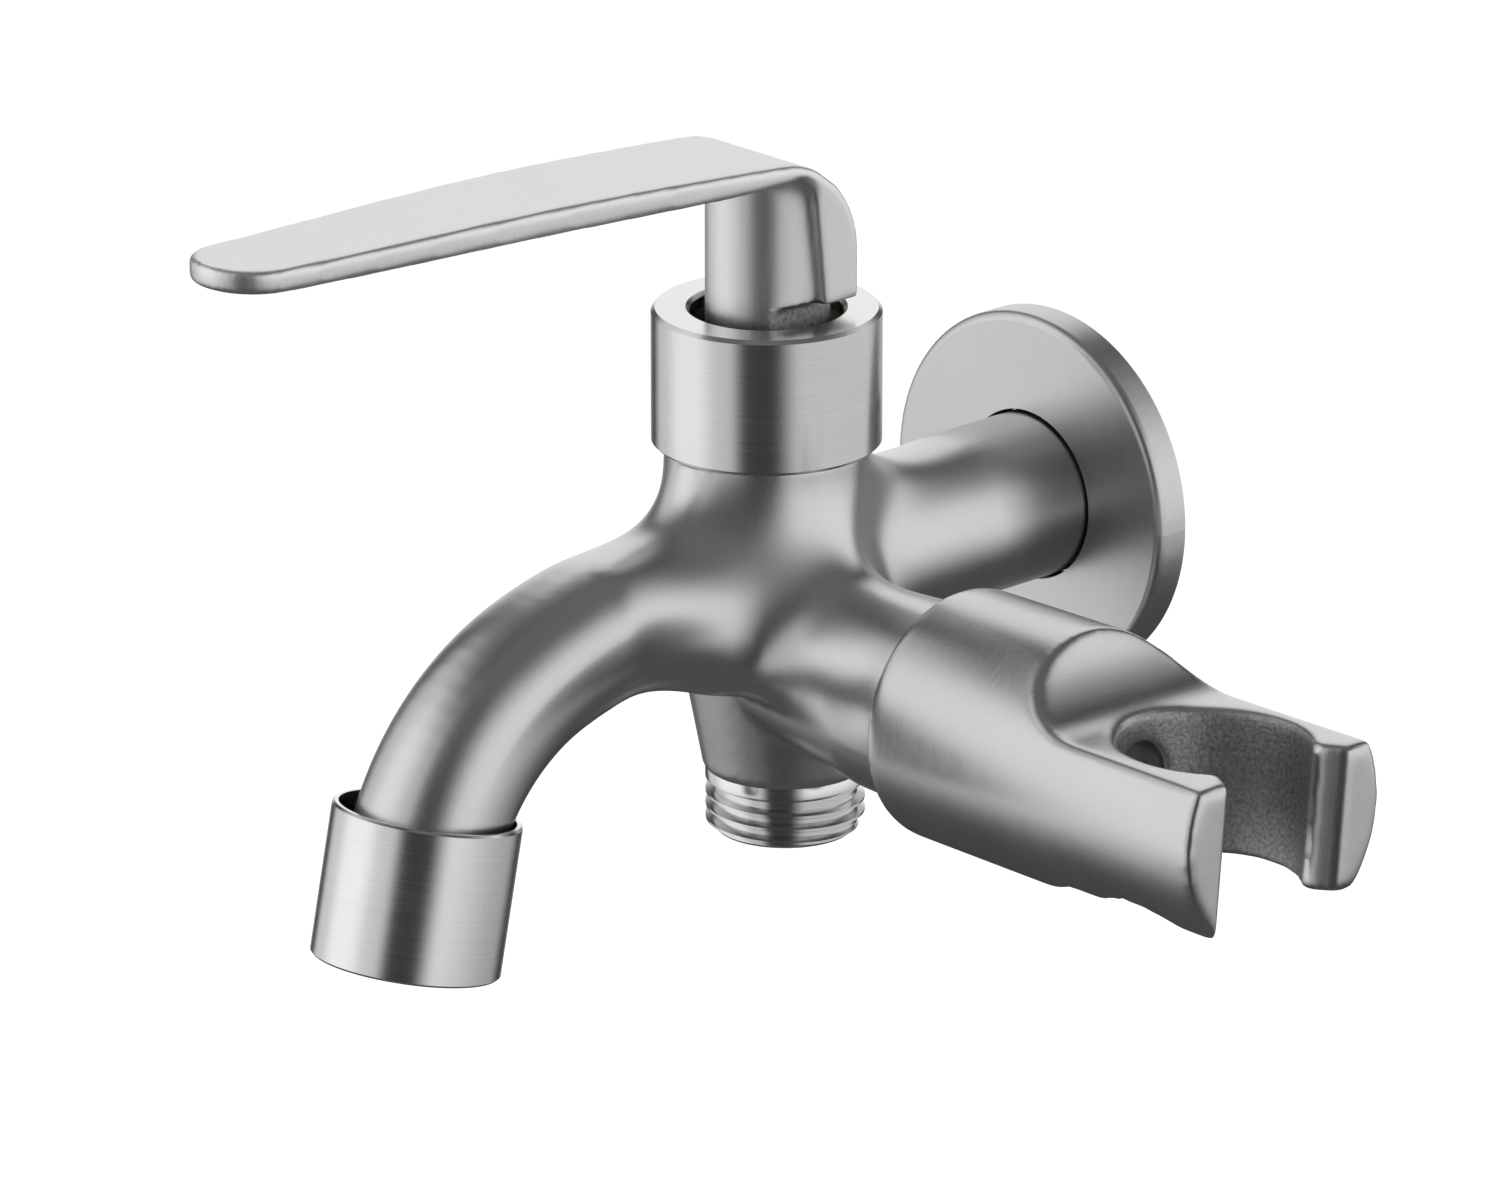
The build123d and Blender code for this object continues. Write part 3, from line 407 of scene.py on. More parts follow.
sleeve_turn = Vector((0, 0, 1)).rotation_difference(sleeve_way).to_euler()
TURNED = (30, 30, 0.10)
ring_steel = brushed_steel("ring_steel", STEEL, 0.22, TURNED, tower / MM)
sleeve_steel = brushed_steel("sleeve_steel", STEEL, 0.22, TURNED, sleeve_middle / MM, sleeve_turn)
# The flange, body and holder take the darker steel colours, which are painted shade, and the lever the
# lighter one, which is painted light.
flange_steel = brushed_steel("flange_steel", DARKER_STEEL_PAINTED_SHADE, 0.34, (0.14, 6, 6), depth=2.6)
lever_steel = brushed_steel("lever_steel", LIGHTER_STEEL_PAINTED_LIGHT, 0.4, (8, 0.14, 8), depth=1.6, rough_patch=stem_patch)
body_steel = brushed_steel("body_steel", BODY_STEEL_PAINTED_SHADE, 0.32, (0.12, 0.12, 5), depth=0.9)
holder_steel = brushed_steel("holder_steel", DARKER_STEEL_PAINTED_SHADE, 0.29, (0.1, 5, 5), rough_patch=cradle_patch)
thread_steel = brushed_steel("thread_steel", STEEL, 0.18, (6, 6, 0.1), outlet / MM)
screw_steel = brushed_steel("screw_steel", SCREW_STEEL, 0.3, (0.3, 0.3, 0.3))
print("steels ready")

# %% [markdown]
# The valve's inner pieces are seldom seen, but each still has its own finish:
# turned brass, ground ceramic, soft black rubber, grey foam and white plastic.


# %% Brass, ceramic, rubber, foam and plastic
SPECKLE_SHARE = 0.2
SPECKLE_LOW = 0.9


def dull_material(name, colour, roughness, size, depth):
    """A finish that isn't metal, with speckles of a size in mm and a depth in micrometres."""
    material, graph = plain_material(name)
    speckle = grain(graph, size)
    tone = SPECKLE_LOW + speckle * SPECKLE_SHARE
    finish(graph, colour, tone, roughness + (speckle - 0.5) * SPECKLE_SHARE, speckle * depth, 0.0)
    return material


brass = brushed_steel("brass", (0.30, 0.24, 0.16), 0.40, (20, 20, 0.12), tower / MM)
ceramic = dull_material("ceramic", (0.86, 0.85, 0.82), 0.3, (0.4, 0.4, 0.4), 1)
rubber = dull_material("rubber", (0.03, 0.03, 0.03), 0.6, (0.5, 0.5, 0.5), 8)
foam = dull_material("foam", (0.12, 0.12, 0.12), 0.85, (0.6, 0.6, 0.6), 60)
plastic = dull_material("plastic", (0.8, 0.8, 0.78), 0.4, (0.8, 0.8, 0.8), 3)
FINISHES = {
    ring_steel: ("bonnet_ring",),
    sleeve_steel: ("aerator_housing",),
    flange_steel: ("wall_flange",),
    lever_steel: ("lever",),
    body_steel: ("body",),
    holder_steel: ("sprayer_holder",),
    screw_steel: ("holder_screw", "holder_washer", "lever_grub_screw", "spindle_clip", "aerator_screens"),
    brass: ("cartridge_housing", "spindle"),
    ceramic: ("fixed_ceramic_disc", "moving_ceramic_disc"),
    rubber: ("seat_seal", "spindle_o_rings", "cartridge_gasket", "flange_grip_ring", "aerator_washer"),
    foam: ("wall_gasket",),
    plastic: ("aerator_insert", "arm_bush", "friction_washer"),
}
for material, nodes in FINISHES.items():
    for node in nodes:
        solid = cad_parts[node]
        solid.data.materials.clear()
        solid.data.materials.append(material)
print("finished solids:", sum(len(nodes) for nodes in FINISHES.values()))

# %% [markdown]
# The real body, holder and lever are castings that a wheel has polished, so no edge on them is
# sharp and each joint between two tubes is a soft hollow.
# A solid model joins tubes along lines, and bevels stumble where three tubes meet.
# Here the solid is copied, its triangles are joined and turned into an even skin of small cells,
# and the skin is relaxed: each point moves towards its neighbours' middle, by a share that says how
# soft the casting is there.


# %% Skins
MERGE = 0.002 * MM


def merged_copy(node, name):
    """A copy of a solid whose loose triangles are joined."""
    mesh = bpy.data.meshes.new(name)
    shape = bmesh.new()
    shape.from_mesh(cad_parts[node].data)
    bmesh.ops.remove_doubles(shape, verts=shape.verts, dist=MERGE)
    shape.to_mesh(mesh)
    shape.free()
    piece = bpy.data.objects.new(name, mesh)
    bpy.context.scene.collection.objects.link(piece)
    return piece


def applied(piece):
    """Turn a piece's modifiers into plain mesh."""
    layers = bpy.context.evaluated_depsgraph_get()
    mesh = bpy.data.meshes.new_from_object(piece.evaluated_get(layers))
    piece.modifiers.clear()
    piece.data = mesh
    return piece


def even_skin(piece, cell):
    """Cover the piece with an even skin of square cells."""
    skin = piece.modifiers.new("even_skin", "REMESH")
    skin.mode = "VOXEL"
    skin.voxel_size = cell
    return applied(piece)


# %% Relaxing
def points_of(mesh):
    """The mesh's points in mm."""
    points = np.empty(len(mesh.vertices) * 3)
    mesh.vertices.foreach_get("co", points)
    return points.reshape(-1, 3) / MM


def put_points(mesh, points):
    """Give the mesh's points new places in mm."""
    mesh.vertices.foreach_set("co", (points * MM).ravel())
    mesh.update()


def step(value, low, high):
    """0 at low and 1 at high, with a soft step between."""
    share = np.clip((value - low) / (high - low), 0, 1)
    return share * share * (3 - 2 * share)


def relax(mesh, share, passes):
    """Move each point towards its neighbours' middle by its share, and do so several times."""
    points = points_of(mesh)
    edges = np.empty(len(mesh.edges) * 2, int)
    mesh.edges.foreach_get("vertices", edges)
    first, second = edges.reshape(-1, 2).T
    count = np.bincount(edges, minlength=len(points))
    for number in range(passes):
        for axis in range(3):
            values = points[:, axis]
            total = np.bincount(first, values[second], len(points))
            total += np.bincount(second, values[first], len(points))
            points[:, axis] = values + share * (total / count - values)
    put_points(mesh, points)


# %% [markdown]
# Relaxing rounds an edge but can't fill a wide hollow, such as the one between the spout and the
# side arm.
# A gap says how far a spot lies outside a form, and two forms join softly where the lower of their
# gaps is rounded off.
# Points that lie inside such a joined form are moved out to its surface, along the gap's slope.


# %% Soft joints
SLOPE_STEP = 0.05
SETTLE_PASSES = 5


def soft_lower(first, second, reach):
    """The lower of two heights, with a soft change of the given reach between them."""
    near = np.maximum(reach - np.abs(first - second), 0) / reach
    return np.minimum(first, second) - near * near * reach / 4


def slope(gap, spots):
    """The direction in which a gap grows, at each spot."""
    ways = np.eye(3) * SLOPE_STEP
    return np.stack([gap(spots + way) - gap(spots - way) for way in ways], axis=1) / (2 * SLOPE_STEP)


def settle(spots, gap, mask):
    """Move the points inside a soft form out to its surface."""
    for number in range(SETTLE_PASSES):
        way = slope(gap, spots)
        move = np.minimum(gap(spots), 0) * mask / (way * way).sum(axis=1)
        spots = spots - move[:, None] * way
    return spots


# %% [markdown]
# A finished piece gets its material, is told which body it moves with and which finish it shows,
# and stands for the solids that it covers.


# %% Dressing a piece
def dress(piece, nodes, body, material):
    """Give a finished piece its material, body and slot, and let it stand for its solids."""
    piece.data.materials.clear()
    piece.data.materials.append(material)
    piece.data.polygons.foreach_set("material_index", [0] * len(piece.data.polygons))
    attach(piece, body)
    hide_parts(*nodes)
    print(piece.name, "triangles:", sum(len(face.vertices) - 2 for face in piece.data.polygons))


# %% [markdown]
# The body is four tubes that grow into one another: the tower's column, the spout, the side arm and
# the inlet pipe.
# Near the tower each is close to a straight tube, so a plain formula gives its gap.
# Spout and arm meet in a wide valley, and the column stands on them with a tighter hollow.

# %% The body's tubes
COLUMN = 13.4
PIPE = 11.2
SPOUT = 9.9
SPOUT_HEIGHT = 0.6
ARM_ROOT = 9.6
ARM_SWELL = 3.6
ARM_SWELL_REACH = 25
VALLEY_BLEND = 22
COLUMN_BLEND = 8


def tube_gaps(spots):
    """How far each point lies outside the column, the spout, the side arm and the inlet pipe."""
    side, height = spots[:, 0], spots[:, 2]
    ahead = spots[:, 1] - tower.y / MM
    column = np.hypot(side, ahead) - COLUMN
    spout = np.hypot(side, height - SPOUT_HEIGHT) - SPOUT + np.maximum(ahead, 0)
    arm_radius = ARM_ROOT + ARM_SWELL * np.clip(side / ARM_SWELL_REACH, 0, 1)
    side_arm = np.hypot(ahead, height - arm.z / MM) - arm_radius + np.maximum(-side, 0)
    pipe = np.hypot(side, height) - PIPE + np.maximum(-ahead, 0)
    return np.array((column, spout, side_arm, pipe))


def soft_gap(spots):
    """The gap to all four tubes as one form, with a wide valley between spout and arm."""
    column, spout, side_arm, pipe = tube_gaps(spots)
    valley = soft_lower(spout, side_arm, VALLEY_BLEND)
    return soft_lower(valley, soft_lower(column, pipe, COLUMN_BLEND), COLUMN_BLEND)


# %% [markdown]
# The solid's threads are rings of grooves, so these zones become plain rods at the thread's root,
# and the helical ridges are pieces of their own.
# Then the valley is filled and the skin relaxed.
# The hollows round the tower are the softest, while the neck's top, the arm's end and the crisp
# line where the arm crosses the outlet's cone stay as they are.
# Each mask below is a pair of places in mm, where it begins and where it is full.

# %% Thread rods
BODY_CELL = 0.6 * MM
THREAD_ROOT = 9.3775
THREAD_REACH = 11.0
OUTLET_THREAD_START = -28.6
INLET_THREAD_START = 0.9
THREAD_ZONES = ((2, OUTLET_THREAD_START, -1, outlet / MM), (1, INLET_THREAD_START, 1, Vector()))
body_skin = merged_copy("body", "body_skin")
spots = points_of(body_skin.data)
for axis, start, way, middle in THREAD_ZONES:
    across = [k for k in range(3) if k != axis]
    core = np.array(middle)[across]
    off = spots[:, across] - core
    reach = np.linalg.norm(off, axis=1)
    crest = (reach > THREAD_ROOT) & (reach < THREAD_REACH) & (way * (spots[:, axis] - start) > 0)
    spots[np.ix_(crest, across)] = core + off[crest] * (THREAD_ROOT / reach[crest])[:, None]
    print("thread points moved to the root:", crest.sum())
put_points(body_skin.data, spots)

# %% Body
SOFT_LOW = (-13, -8)
SOFT_HIGH = (18.2, 15.5)
SOFT_SIDE = (33.5, 28)
SOFT_AHEAD = (34, 26)
SKIN_DEPTH = (-2.6, -1.6)
VALLEY_SIDE = (1, 6)
VALLEY_AHEAD = (4, -2)
VALLEY_LOW = (-12, -7)
BODY_SOFTNESS = 0.6
BODY_PASSES = 90
FINE_SOFTNESS = 0.25
FINE_PASSES = 3
even_skin(body_skin, BODY_CELL)
spots = points_of(body_skin.data)
side, ahead, height = spots[:, 0], spots[:, 1] - tower.y / MM, spots[:, 2]
softness = step(height, *SOFT_LOW) * step(height, *SOFT_HIGH)
softness = softness * step(np.abs(side), *SOFT_SIDE) * step(np.abs(ahead), *SOFT_AHEAD)
outside = step(tube_gaps(spots).min(axis=0), *SKIN_DEPTH)
front = step(side, *VALLEY_SIDE) * step(ahead, *VALLEY_AHEAD) * step(height, *VALLEY_LOW)
spots = settle(spots, soft_gap, softness * outside * front)
put_points(body_skin.data, spots)
relax(body_skin.data, BODY_SOFTNESS * softness, BODY_PASSES)
relax(body_skin.data, np.full(len(spots), FINE_SOFTNESS), FINE_PASSES)
body_skin.data.shade_smooth()
dress(body_skin, ["body"], "tap", body_steel)

# %% [markdown]
# The lever is one casting too: its strap's edges are worn round, and the stem runs into the neck in
# a soft hollow.
# The neck's back is slightly crowned, most of all left of its middle.
# Its points are pushed back along a parabola, which a bevel or a lattice could only come near to,
# and then the skin is relaxed.

# %% Lever
LEVER_CELL = 0.38 * MM
LEVER_CROWN = 1.2
LEVER_CROWN_SIDE = 3.0
LEVER_HALF_WIDTH = 9.7
CROWN_AHEAD = (0, 6)
COVE_INNER = (5, 6.5)
COVE_OUTER = (9.7, 9)
COVE_FRONT = (-5, -3)
COVE_BACK = (3.4, 2.2)
COVE_LOW = (38.7, 39.4)
COVE_HIGH = (57.4, 55.5)
COVE_SOFTNESS = 0.5
COVE_PASSES = 45
LEVER_SOFTNESS = 0.3
LEVER_PASSES = 8
lever_skin = even_skin(merged_copy("lever", "lever_skin"), LEVER_CELL)
spots = points_of(lever_skin.data)
side, ahead, height = np.abs(spots[:, 0]), spots[:, 1] - tower.y / MM, spots[:, 2]
cove = step(side, *COVE_INNER) * step(side, *COVE_OUTER) * step(ahead, *COVE_FRONT) * step(ahead, *COVE_BACK)
cove = cove * step(height, *COVE_LOW) * step(height, *COVE_HIGH)
bulge = np.maximum(1 - ((spots[:, 0] + LEVER_CROWN_SIDE) / LEVER_HALF_WIDTH) ** 2, 0)
spots[:, 1] += LEVER_CROWN * step(ahead, *CROWN_AHEAD) * bulge
put_points(lever_skin.data, spots)
relax(lever_skin.data, COVE_SOFTNESS * cove, COVE_PASSES)
relax(lever_skin.data, np.full(len(spots), LEVER_SOFTNESS), LEVER_PASSES)
lever_skin.data.shade_smooth()
dress(lever_skin, ["lever"], "lever_handle", lever_steel)

# %% [markdown]
# The holder's scoops and fork ends have soft edges all round, so it is relaxed like the others, and
# one even softness serves the whole piece.

# %% Holder
HOLDER_CELL = 0.42 * MM
HOLDER_SOFTNESS = 0.5
HOLDER_PASSES = 20
holder_skin = even_skin(merged_copy("sprayer_holder", "holder_skin"), HOLDER_CELL)
relax(holder_skin.data, np.full(len(holder_skin.data.vertices), HOLDER_SOFTNESS), HOLDER_PASSES)
holder_skin.data.shade_smooth()
dress(holder_skin, ["sprayer_holder"], "holder", holder_steel)

# %% [markdown]
# Threads and woven wire repeat by a rule, which suits Geometry Nodes: a tree is built once, its
# sizes are named inputs, and each piece is one run of it.
# A tree ends by giving its finish and making copies real, and the result is kept as a plain mesh.


# %% Geometry helpers
def new_tree(name, inputs):
    """A geometry tree with named inputs, and its input and output nodes."""
    tree = bpy.data.node_groups.new(name, "GeometryNodeTree")
    for title, kind in inputs.items():
        tree.interface.new_socket(title, in_out="INPUT", socket_type="NodeSocket" + kind)
    tree.interface.new_socket("Geometry", in_out="OUTPUT", socket_type="NodeSocketGeometry")
    return tree, tree.nodes.new("NodeGroupInput"), tree.nodes.new("NodeGroupOutput")


def place_node(tree, kind, settings=None, sockets=None):
    """Add a node: its settings first, then values or other nodes' sockets."""
    node = tree.nodes.new(kind)
    for name, value in (settings or {}).items():
        setattr(node, name, value)
    for name, value in (sockets or {}).items():
        if isinstance(value, bpy.types.NodeSocket):
            tree.links.new(value, node.inputs[name])
        else:
            node.inputs[name].default_value = value
    return node


def geometry_maths(tree, operation, first, second):
    """One sum, product or other step of maths, as the socket of its result."""
    return place_node(tree, "ShaderNodeMath", {"operation": operation}, {0: first, 1: second}).outputs[0]


def end_tree(tree, made, given, ending):
    """Give the result its finish and make it real, as the export needs."""
    parts = {"Geometry": made, "Material": given.outputs["Finish"]}
    finished = place_node(tree, "GeometryNodeSetMaterial", None, parts)
    real = place_node(tree, "GeometryNodeRealizeInstances", None, {"Geometry": finished.outputs[0]})
    tree.links.new(real.outputs[0], ending.inputs[0])


def grow(name, tree, values):
    """Run a tree once and keep what it makes as a plain mesh."""
    piece = bpy.data.objects.new(name, bpy.data.meshes.new(name))
    bpy.context.scene.collection.objects.link(piece)
    maker = piece.modifiers.new("maker", "NODES")
    maker.node_group = tree
    sockets = {item.name: item.identifier for item in tree.interface.items_tree if item.in_out == "INPUT"}
    for title, value in values.items():
        maker[sockets[title]] = value
    return applied(piece)


# %% [markdown]
# A pipe thread is a ridge that climbs round a rod, so its piece follows a spiral.
# The tree sweeps a small section along the spiral and lets it fade at both ends, as a cut thread
# runs out.
# A screw modifier could do the same, but it can't fade.
# The same tree makes the spring washer, which is a single turn.

# %% Spiral strip tree
STRIP_STEPS = 64
FADED = 0.02
STRIP_SIZES = ("Radius", "Pitch", "Turns", "Rise", "Foot Width", "Crest Width", "Sink", "Fade")
strip_inputs = {title: "Float" for title in STRIP_SIZES}
strip_inputs["Finish"] = "Material"
strip_tree, given, ending = new_tree("spiral_strip", strip_inputs)
climb = geometry_maths(strip_tree, "MULTIPLY", given.outputs["Pitch"], given.outputs["Turns"])
spiral = place_node(
    strip_tree,
    "GeometryNodeCurveSpiral",
    None,
    {
        "Resolution": STRIP_STEPS,
        "Rotations": given.outputs["Turns"],
        "Start Radius": given.outputs["Radius"],
        "End Radius": given.outputs["Radius"],
        "Height": climb,
    },
)
spiral_curve = {"Curve": spiral.outputs[0]}
upright = place_node(strip_tree, "GeometryNodeSetCurveNormal", {"mode": "Z_UP"}, spiral_curve)
walk = place_node(strip_tree, "GeometryNodeSplineParameter").outputs["Factor"]
rest = geometry_maths(strip_tree, "SUBTRACT", 1.0, walk)
end_near = geometry_maths(strip_tree, "MINIMUM", walk, rest)
fade_range = {"Value": end_near, "From Max": given.outputs["Fade"], "To Min": FADED}
fade = place_node(strip_tree, "ShaderNodeMapRange", None, fade_range)
section = place_node(
    strip_tree,
    "GeometryNodeCurvePrimitiveQuadrilateral",
    {"mode": "TRAPEZOID"},
    {
        "Bottom Width": given.outputs["Foot Width"],
        "Top Width": given.outputs["Crest Width"],
        "Height": given.outputs["Rise"],
        "Offset": 0.0,
    },
)
half_rise = geometry_maths(strip_tree, "MULTIPLY", given.outputs["Rise"], 0.5)
lift = geometry_maths(strip_tree, "SUBTRACT", given.outputs["Sink"], half_rise)
outward = place_node(strip_tree, "ShaderNodeCombineXYZ", None, {"X": lift}).outputs[0]
turned = place_node(
    strip_tree,
    "GeometryNodeTransform",
    None,
    {"Geometry": section.outputs[0], "Rotation": (0, 0, math.pi / 2), "Translation": outward},
)
sweep = {"Curve": upright.outputs[0], "Profile Curve": turned.outputs[0]}
sweep.update({"Scale": fade.outputs[0], "Fill Caps": True})
strip = place_node(strip_tree, "GeometryNodeCurveToMesh", None, sweep)
end_tree(strip_tree, strip.outputs[0], given, ending)
print("spiral strip tree:", len(strip_tree.nodes), "nodes")

# %% Spiral and turned pieces
SEAM_ANGLE = math.radians(35)


def set_sharp(mesh):
    """Keep edges crisp where faces meet at more than the seam angle, and turn all faces outwards."""
    shape = bmesh.new()
    shape.from_mesh(mesh)
    bmesh.ops.recalc_face_normals(shape, faces=shape.faces)
    shape.to_mesh(mesh)
    shape.free()
    mesh.shade_smooth()
    mesh.set_sharp_from_angle(angle=SEAM_ANGLE)


def spiral_piece(name, radius, pitch, turns, section_size, fade, place, material):
    """A strip along a spiral, with its sizes in mm, moved to its place."""
    rise, foot, crest, sink = (size * MM for size in section_size)
    values = {"Radius": radius * MM, "Pitch": pitch * MM, "Turns": turns, "Rise": rise, "Foot Width": foot}
    values.update({"Crest Width": crest, "Sink": sink, "Fade": fade, "Finish": material})
    piece = grow(name, strip_tree, values)
    points = points_of(piece.data)
    reach = np.hypot(points[:, 0], points[:, 1])
    print(name, "reaches from", reach.min().round(2), "to", reach.max().round(2))
    print(name, "climbs", np.ptp(points[:, 2]).round(2))
    piece.data.transform(place)
    set_sharp(piece.data)
    return piece


def turned_piece(name, outline, middle, steps=96):
    """A ring turned about an upright axis from a closed outline of radii and heights in mm."""
    around = np.linspace(0, 2 * math.pi, steps, endpoint=False)
    count = len(outline)
    centre = middle / MM
    points = [(centre.x + r * math.cos(a), centre.y + r * math.sin(a), z) for a in around for r, z in outline]
    faces = []
    for k in range(steps):
        near, far = k * count, (k + 1) % steps * count
        faces += [(near + n, near + (n + 1) % count, far + (n + 1) % count, far + n) for n in range(count)]
    mesh = bpy.data.meshes.new(name)
    mesh.from_pydata([tuple(np.array(point) * MM) for point in points], [], faces)
    piece = bpy.data.objects.new(name, mesh)
    bpy.context.scene.collection.objects.link(piece)
    set_sharp(mesh)
    print(name, "corners:", len(points))
    return piece


# %% [markdown]
# Below the outlet's cone the lathe left a bright collar, and the rod that carries the thread ends
# in a small bevel.
# Both are one turned piece, because a closed outline of eight corners gives crisp edges that an
# even skin would round off.

# %% Outlet collar
COLLAR_TOP = -26.3
COLLAR_TOP_RADIUS = 10.3
COLLAR_RADIUS = 10.52
COLLAR_EDGE = 0.45
COLLAR_LOW = -28.3
ROD_TOP = -29.0
ROD_RADIUS = 9.45
ROD_BEVEL = 0.35
ROD_BORE = 8.2
PROUD = 0.02
OUTLET_END = body_low.z / MM
collar_outline = (
    (COLLAR_TOP_RADIUS, COLLAR_TOP),
    (COLLAR_RADIUS, COLLAR_TOP - COLLAR_EDGE),
    (COLLAR_RADIUS, COLLAR_LOW),
    (ROD_RADIUS, ROD_TOP),
    (ROD_RADIUS, OUTLET_END + ROD_BEVEL),
    (ROD_RADIUS - ROD_BEVEL, OUTLET_END - PROUD),
    (ROD_BORE, OUTLET_END - PROUD),
    (ROD_BORE, COLLAR_TOP),
)
outlet_collar = turned_piece("outlet_collar", collar_outline, outlet)
outlet_collar.data.materials.append(thread_steel)

# %% [markdown]
# Both threads are half inch pipe thread with 14 turns to the inch.
# The outlet's starts under the collar and runs down, and the inlet's starts just inside the wall
# and runs to the pipe's open end.

# %% Threads
PITCH = 1.814
THREAD_RISE = 1.1
THREAD_FOOT = 1.5
THREAD_CREST = 0.35
THREAD_SINK = 0.15
THREAD_SECTION = (THREAD_RISE + THREAD_SINK, THREAD_FOOT, THREAD_CREST, THREAD_SINK)
OUTLET_LEAD = 0.5
OUTLET_STOP = 0.55
OUTLET_FADE = 0.07
INLET_STOP = 0.7
INLET_FADE = 0.05
outlet_start = Vector((outlet.x, outlet.y, (OUTLET_THREAD_START - OUTLET_LEAD) * MM))
outlet_place = Matrix.Translation(outlet_start) @ Matrix.Rotation(math.pi, 4, "X")
outlet_turns = (outlet_start.z - body_low.z - OUTLET_STOP * MM) / (PITCH * MM)
outlet_thread = spiral_piece(
    "outlet_thread", THREAD_ROOT, PITCH, outlet_turns, THREAD_SECTION, OUTLET_FADE, outlet_place, thread_steel
)
inlet_place = Matrix.Translation((0, INLET_THREAD_START * MM, 0)) @ Matrix.Rotation(-math.pi / 2, 4, "X")
inlet_turns = (body_high.y / MM - INLET_THREAD_START - INLET_STOP) / PITCH
inlet_thread = spiral_piece(
    "inlet_thread", THREAD_ROOT, PITCH, inlet_turns, THREAD_SECTION, INLET_FADE, inlet_place, thread_steel
)
for piece in (outlet_collar, outlet_thread, inlet_thread):
    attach(piece, "tap")

# %% [markdown]
# The washer under the screw's head is a spring washer: one turn of flat wire whose ends stand a
# little apart.
# It is the thread's tree with other sizes and no fade.

# %% Spring washer
WASHER_INNER = 3.15
WASHER_LEAD = 0.26
WASHER_PITCH = 0.28
WASHER_TURN = 0.97
WASHER_SECTION = (0.9, 0.5, 0.5, 0.0)
NO_FADE = 0.0001
washer_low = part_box("holder_washer")[0]
washer_start = Vector((washer_low.x + WASHER_LEAD * MM, arm.y, arm.z))
washer_place = Matrix.Translation(washer_start) @ Matrix.Rotation(math.pi / 2, 4, "Y")
spring_washer = spiral_piece(
    "spring_washer",
    WASHER_INNER,
    WASHER_PITCH,
    WASHER_TURN,
    WASHER_SECTION,
    NO_FADE,
    washer_place,
    screw_steel,
)
dress(spring_washer, ["holder_washer"], "tap", screw_steel)

# %% [markdown]
# The aerator holds fine screens of woven wire, where the solids have plain drilled discs.
# A woven cloth follows a rule: each wire goes over one crossing and under the next, so its height is
# a product of two cosines, and the wires of the other set have the opposite height.

# %% Rows of wires
WIRE_POINTS = 56
WIRE_SIDES = 4
screen_inputs = {"Radius": "Float", "Pitch": "Float", "Wire": "Float", "Wires": "Int", "Finish": "Material"}
screen_tree, given, ending = new_tree("woven_screen", screen_inputs)
radius, pitch = given.outputs["Radius"], given.outputs["Pitch"]
minus = geometry_maths(screen_tree, "MULTIPLY", radius, -1.0)
first_end = place_node(screen_tree, "ShaderNodeCombineXYZ", None, {"X": minus}).outputs[0]
last_end = place_node(screen_tree, "ShaderNodeCombineXYZ", None, {"X": radius}).outputs[0]
wire_ends = {"Start": first_end, "End": last_end}
straight = place_node(screen_tree, "GeometryNodeCurvePrimitiveLine", None, wire_ends)
divided = place_node(
    screen_tree, "GeometryNodeResampleCurve", None, {"Curve": straight.outputs[0], "Count": WIRE_POINTS}
)
half_count = geometry_maths(screen_tree, "MULTIPLY", given.outputs["Wires"], -0.5)
whole_half = geometry_maths(screen_tree, "CEIL", half_count, 0.0)
row_start = geometry_maths(screen_tree, "MULTIPLY", whole_half, pitch)
row_from = place_node(screen_tree, "ShaderNodeCombineXYZ", None, {"Y": row_start}).outputs[0]
row_step = place_node(screen_tree, "ShaderNodeCombineXYZ", None, {"Y": pitch}).outputs[0]
row = place_node(
    screen_tree,
    "GeometryNodeMeshLine",
    None,
    {"Count": given.outputs["Wires"], "Start Location": row_from, "Offset": row_step},
)
wires = {"Points": row.outputs[0], "Instance": divided.outputs[0]}
laid = place_node(screen_tree, "GeometryNodeInstanceOnPoints", None, wires)
loose = place_node(screen_tree, "GeometryNodeRealizeInstances", None, {"Geometry": laid.outputs[0]})

# %% Weave
spot = place_node(screen_tree, "GeometryNodeInputPosition").outputs[0]
parts = place_node(screen_tree, "ShaderNodeSeparateXYZ", None, {0: spot})
waves = []
for out in ("X", "Y"):
    crossing = geometry_maths(screen_tree, "DIVIDE", parts.outputs[out], pitch)
    angle = geometry_maths(screen_tree, "MULTIPLY", crossing, math.pi)
    waves.append(geometry_maths(screen_tree, "COSINE", angle, 0.0))
weave = geometry_maths(screen_tree, "MULTIPLY", waves[0], waves[1])
sway = geometry_maths(screen_tree, "MULTIPLY", weave, given.outputs["Wire"])
lifted = place_node(screen_tree, "ShaderNodeCombineXYZ", None, {"Z": sway}).outputs[0]
bent = {"Geometry": loose.outputs[0], "Offset": lifted}
waved = place_node(screen_tree, "GeometryNodeSetPosition", None, bent)
reach = place_node(screen_tree, "ShaderNodeVectorMath", {"operation": "LENGTH"}, {0: spot}).outputs["Value"]
outside = geometry_maths(screen_tree, "GREATER_THAN", reach, radius)
cut_off = {"Geometry": waved.outputs[0], "Selection": outside}
trimmed = place_node(screen_tree, "GeometryNodeDeleteGeometry", {"domain": "POINT"}, cut_off)
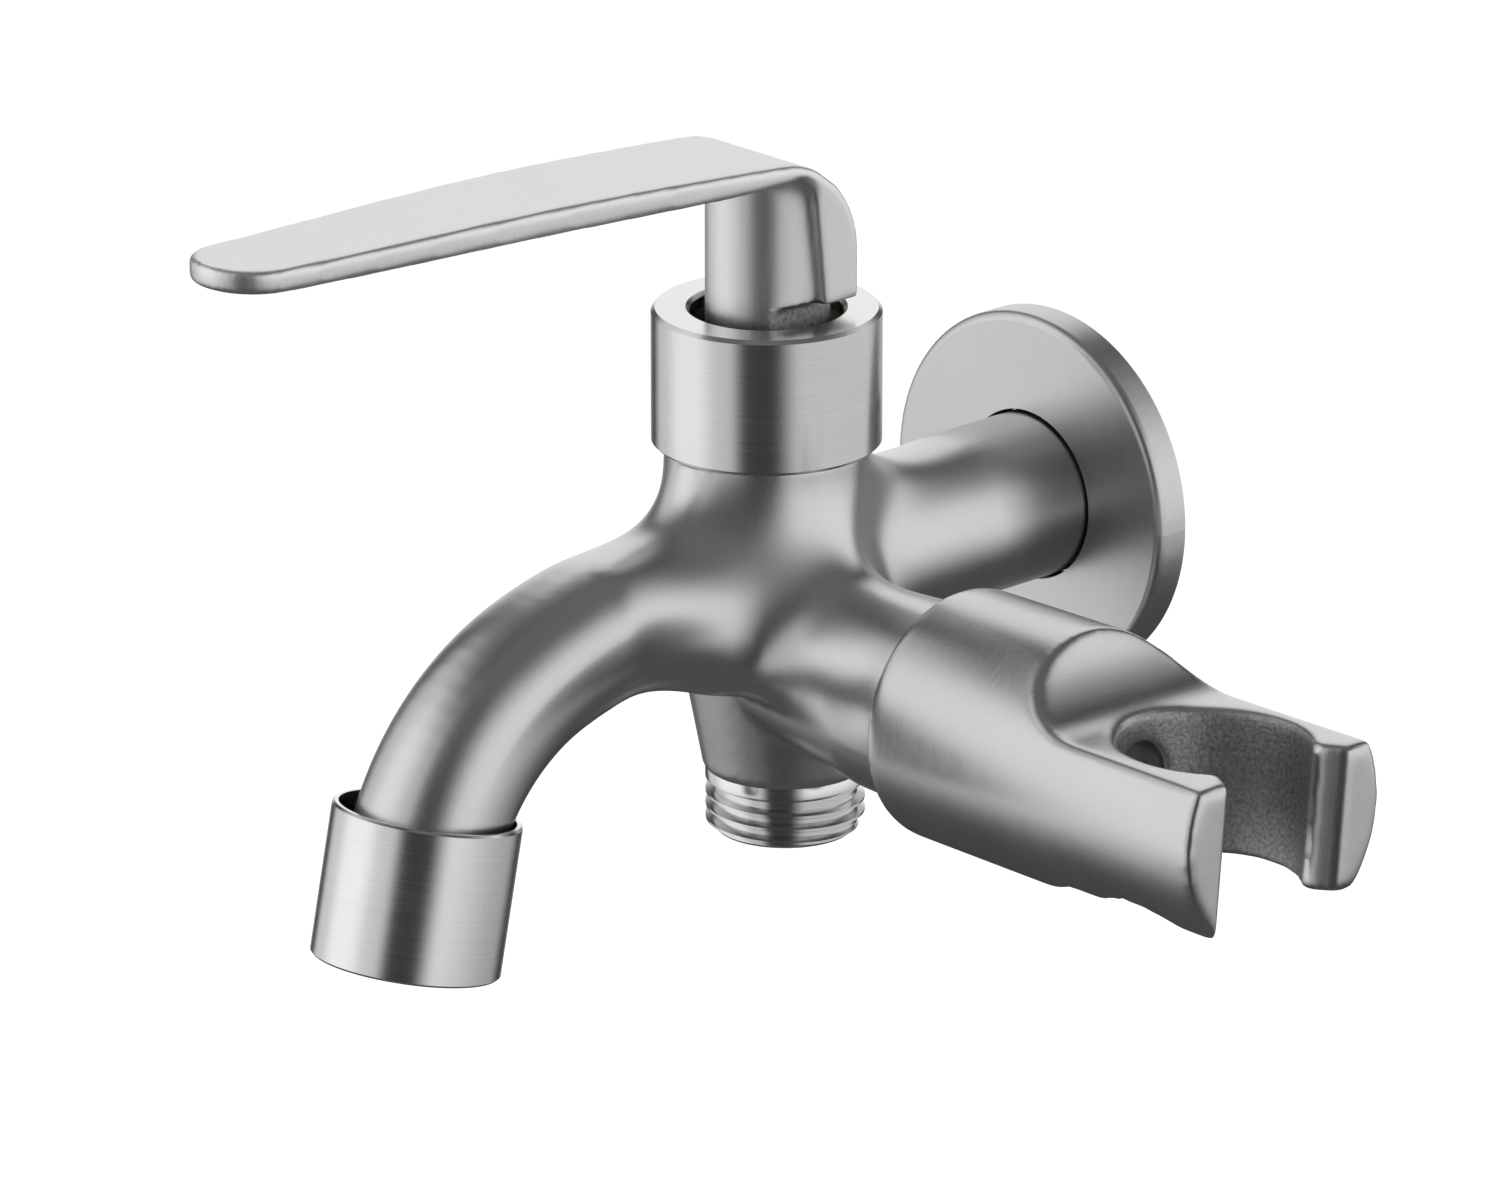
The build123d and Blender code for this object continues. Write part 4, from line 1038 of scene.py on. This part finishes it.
crossed = place_node(
    screen_tree,
    "GeometryNodeTransform",
    None,
    {"Geometry": trimmed.outputs[0], "Rotation": (0, 0, math.pi / 2), "Scale": (1, 1, -1)},
)
both = place_node(screen_tree, "GeometryNodeJoinGeometry", None, {0: trimmed.outputs[0]})
screen_tree.links.new(crossed.outputs[0], both.inputs[0])
wire_round = {"Resolution": WIRE_SIDES, "Radius": given.outputs["Wire"]}
wire = place_node(screen_tree, "GeometryNodeCurvePrimitiveCircle", None, wire_round)
cloth = place_node(
    screen_tree,
    "GeometryNodeCurveToMesh",
    None,
    {"Curve": both.outputs[0], "Profile Curve": wire.outputs[0], "Fill Caps": True},
)
end_tree(screen_tree, cloth.outputs[0], given, ending)
print("woven screen tree:", len(screen_tree.nodes), "nodes")

# %% Aerator screens
SCREEN_RADIUS = 9.1
SCREEN_PITCH = 0.85
SCREEN_WIRE = 0.1
SCREEN_STEP = 0.5
SCREEN_TURNS = (0, 30, 60)
SCREEN_WIRES = 2 * int(SCREEN_RADIUS / SCREEN_PITCH) + 1
screen_middle = round_axis("aerator_screens")[0]
sleeve_place = Matrix.Translation(screen_middle) @ sleeve_turn.to_matrix().to_4x4()
stack = bmesh.new()
for number, turn in enumerate(SCREEN_TURNS):
    values = {"Radius": SCREEN_RADIUS * MM, "Pitch": SCREEN_PITCH * MM, "Wire": SCREEN_WIRE * MM}
    values.update({"Wires": SCREEN_WIRES, "Finish": screw_steel})
    screen = grow("screen", screen_tree, values)
    height = (number - 1) * SCREEN_STEP * MM
    spin = Matrix.Rotation(math.radians(turn), 4, "Z")
    screen.data.transform(sleeve_place @ Matrix.Translation((0, 0, height)) @ spin)
    stack.from_mesh(screen.data)
    bpy.data.objects.remove(screen)
screens_mesh = bpy.data.meshes.new("woven_screens")
stack.to_mesh(screens_mesh)
stack.free()
woven_screens = bpy.data.objects.new("woven_screens", screens_mesh)
bpy.context.scene.collection.objects.link(woven_screens)
set_sharp(screens_mesh)
dress(woven_screens, ["aerator_screens"], "tap", screw_steel)
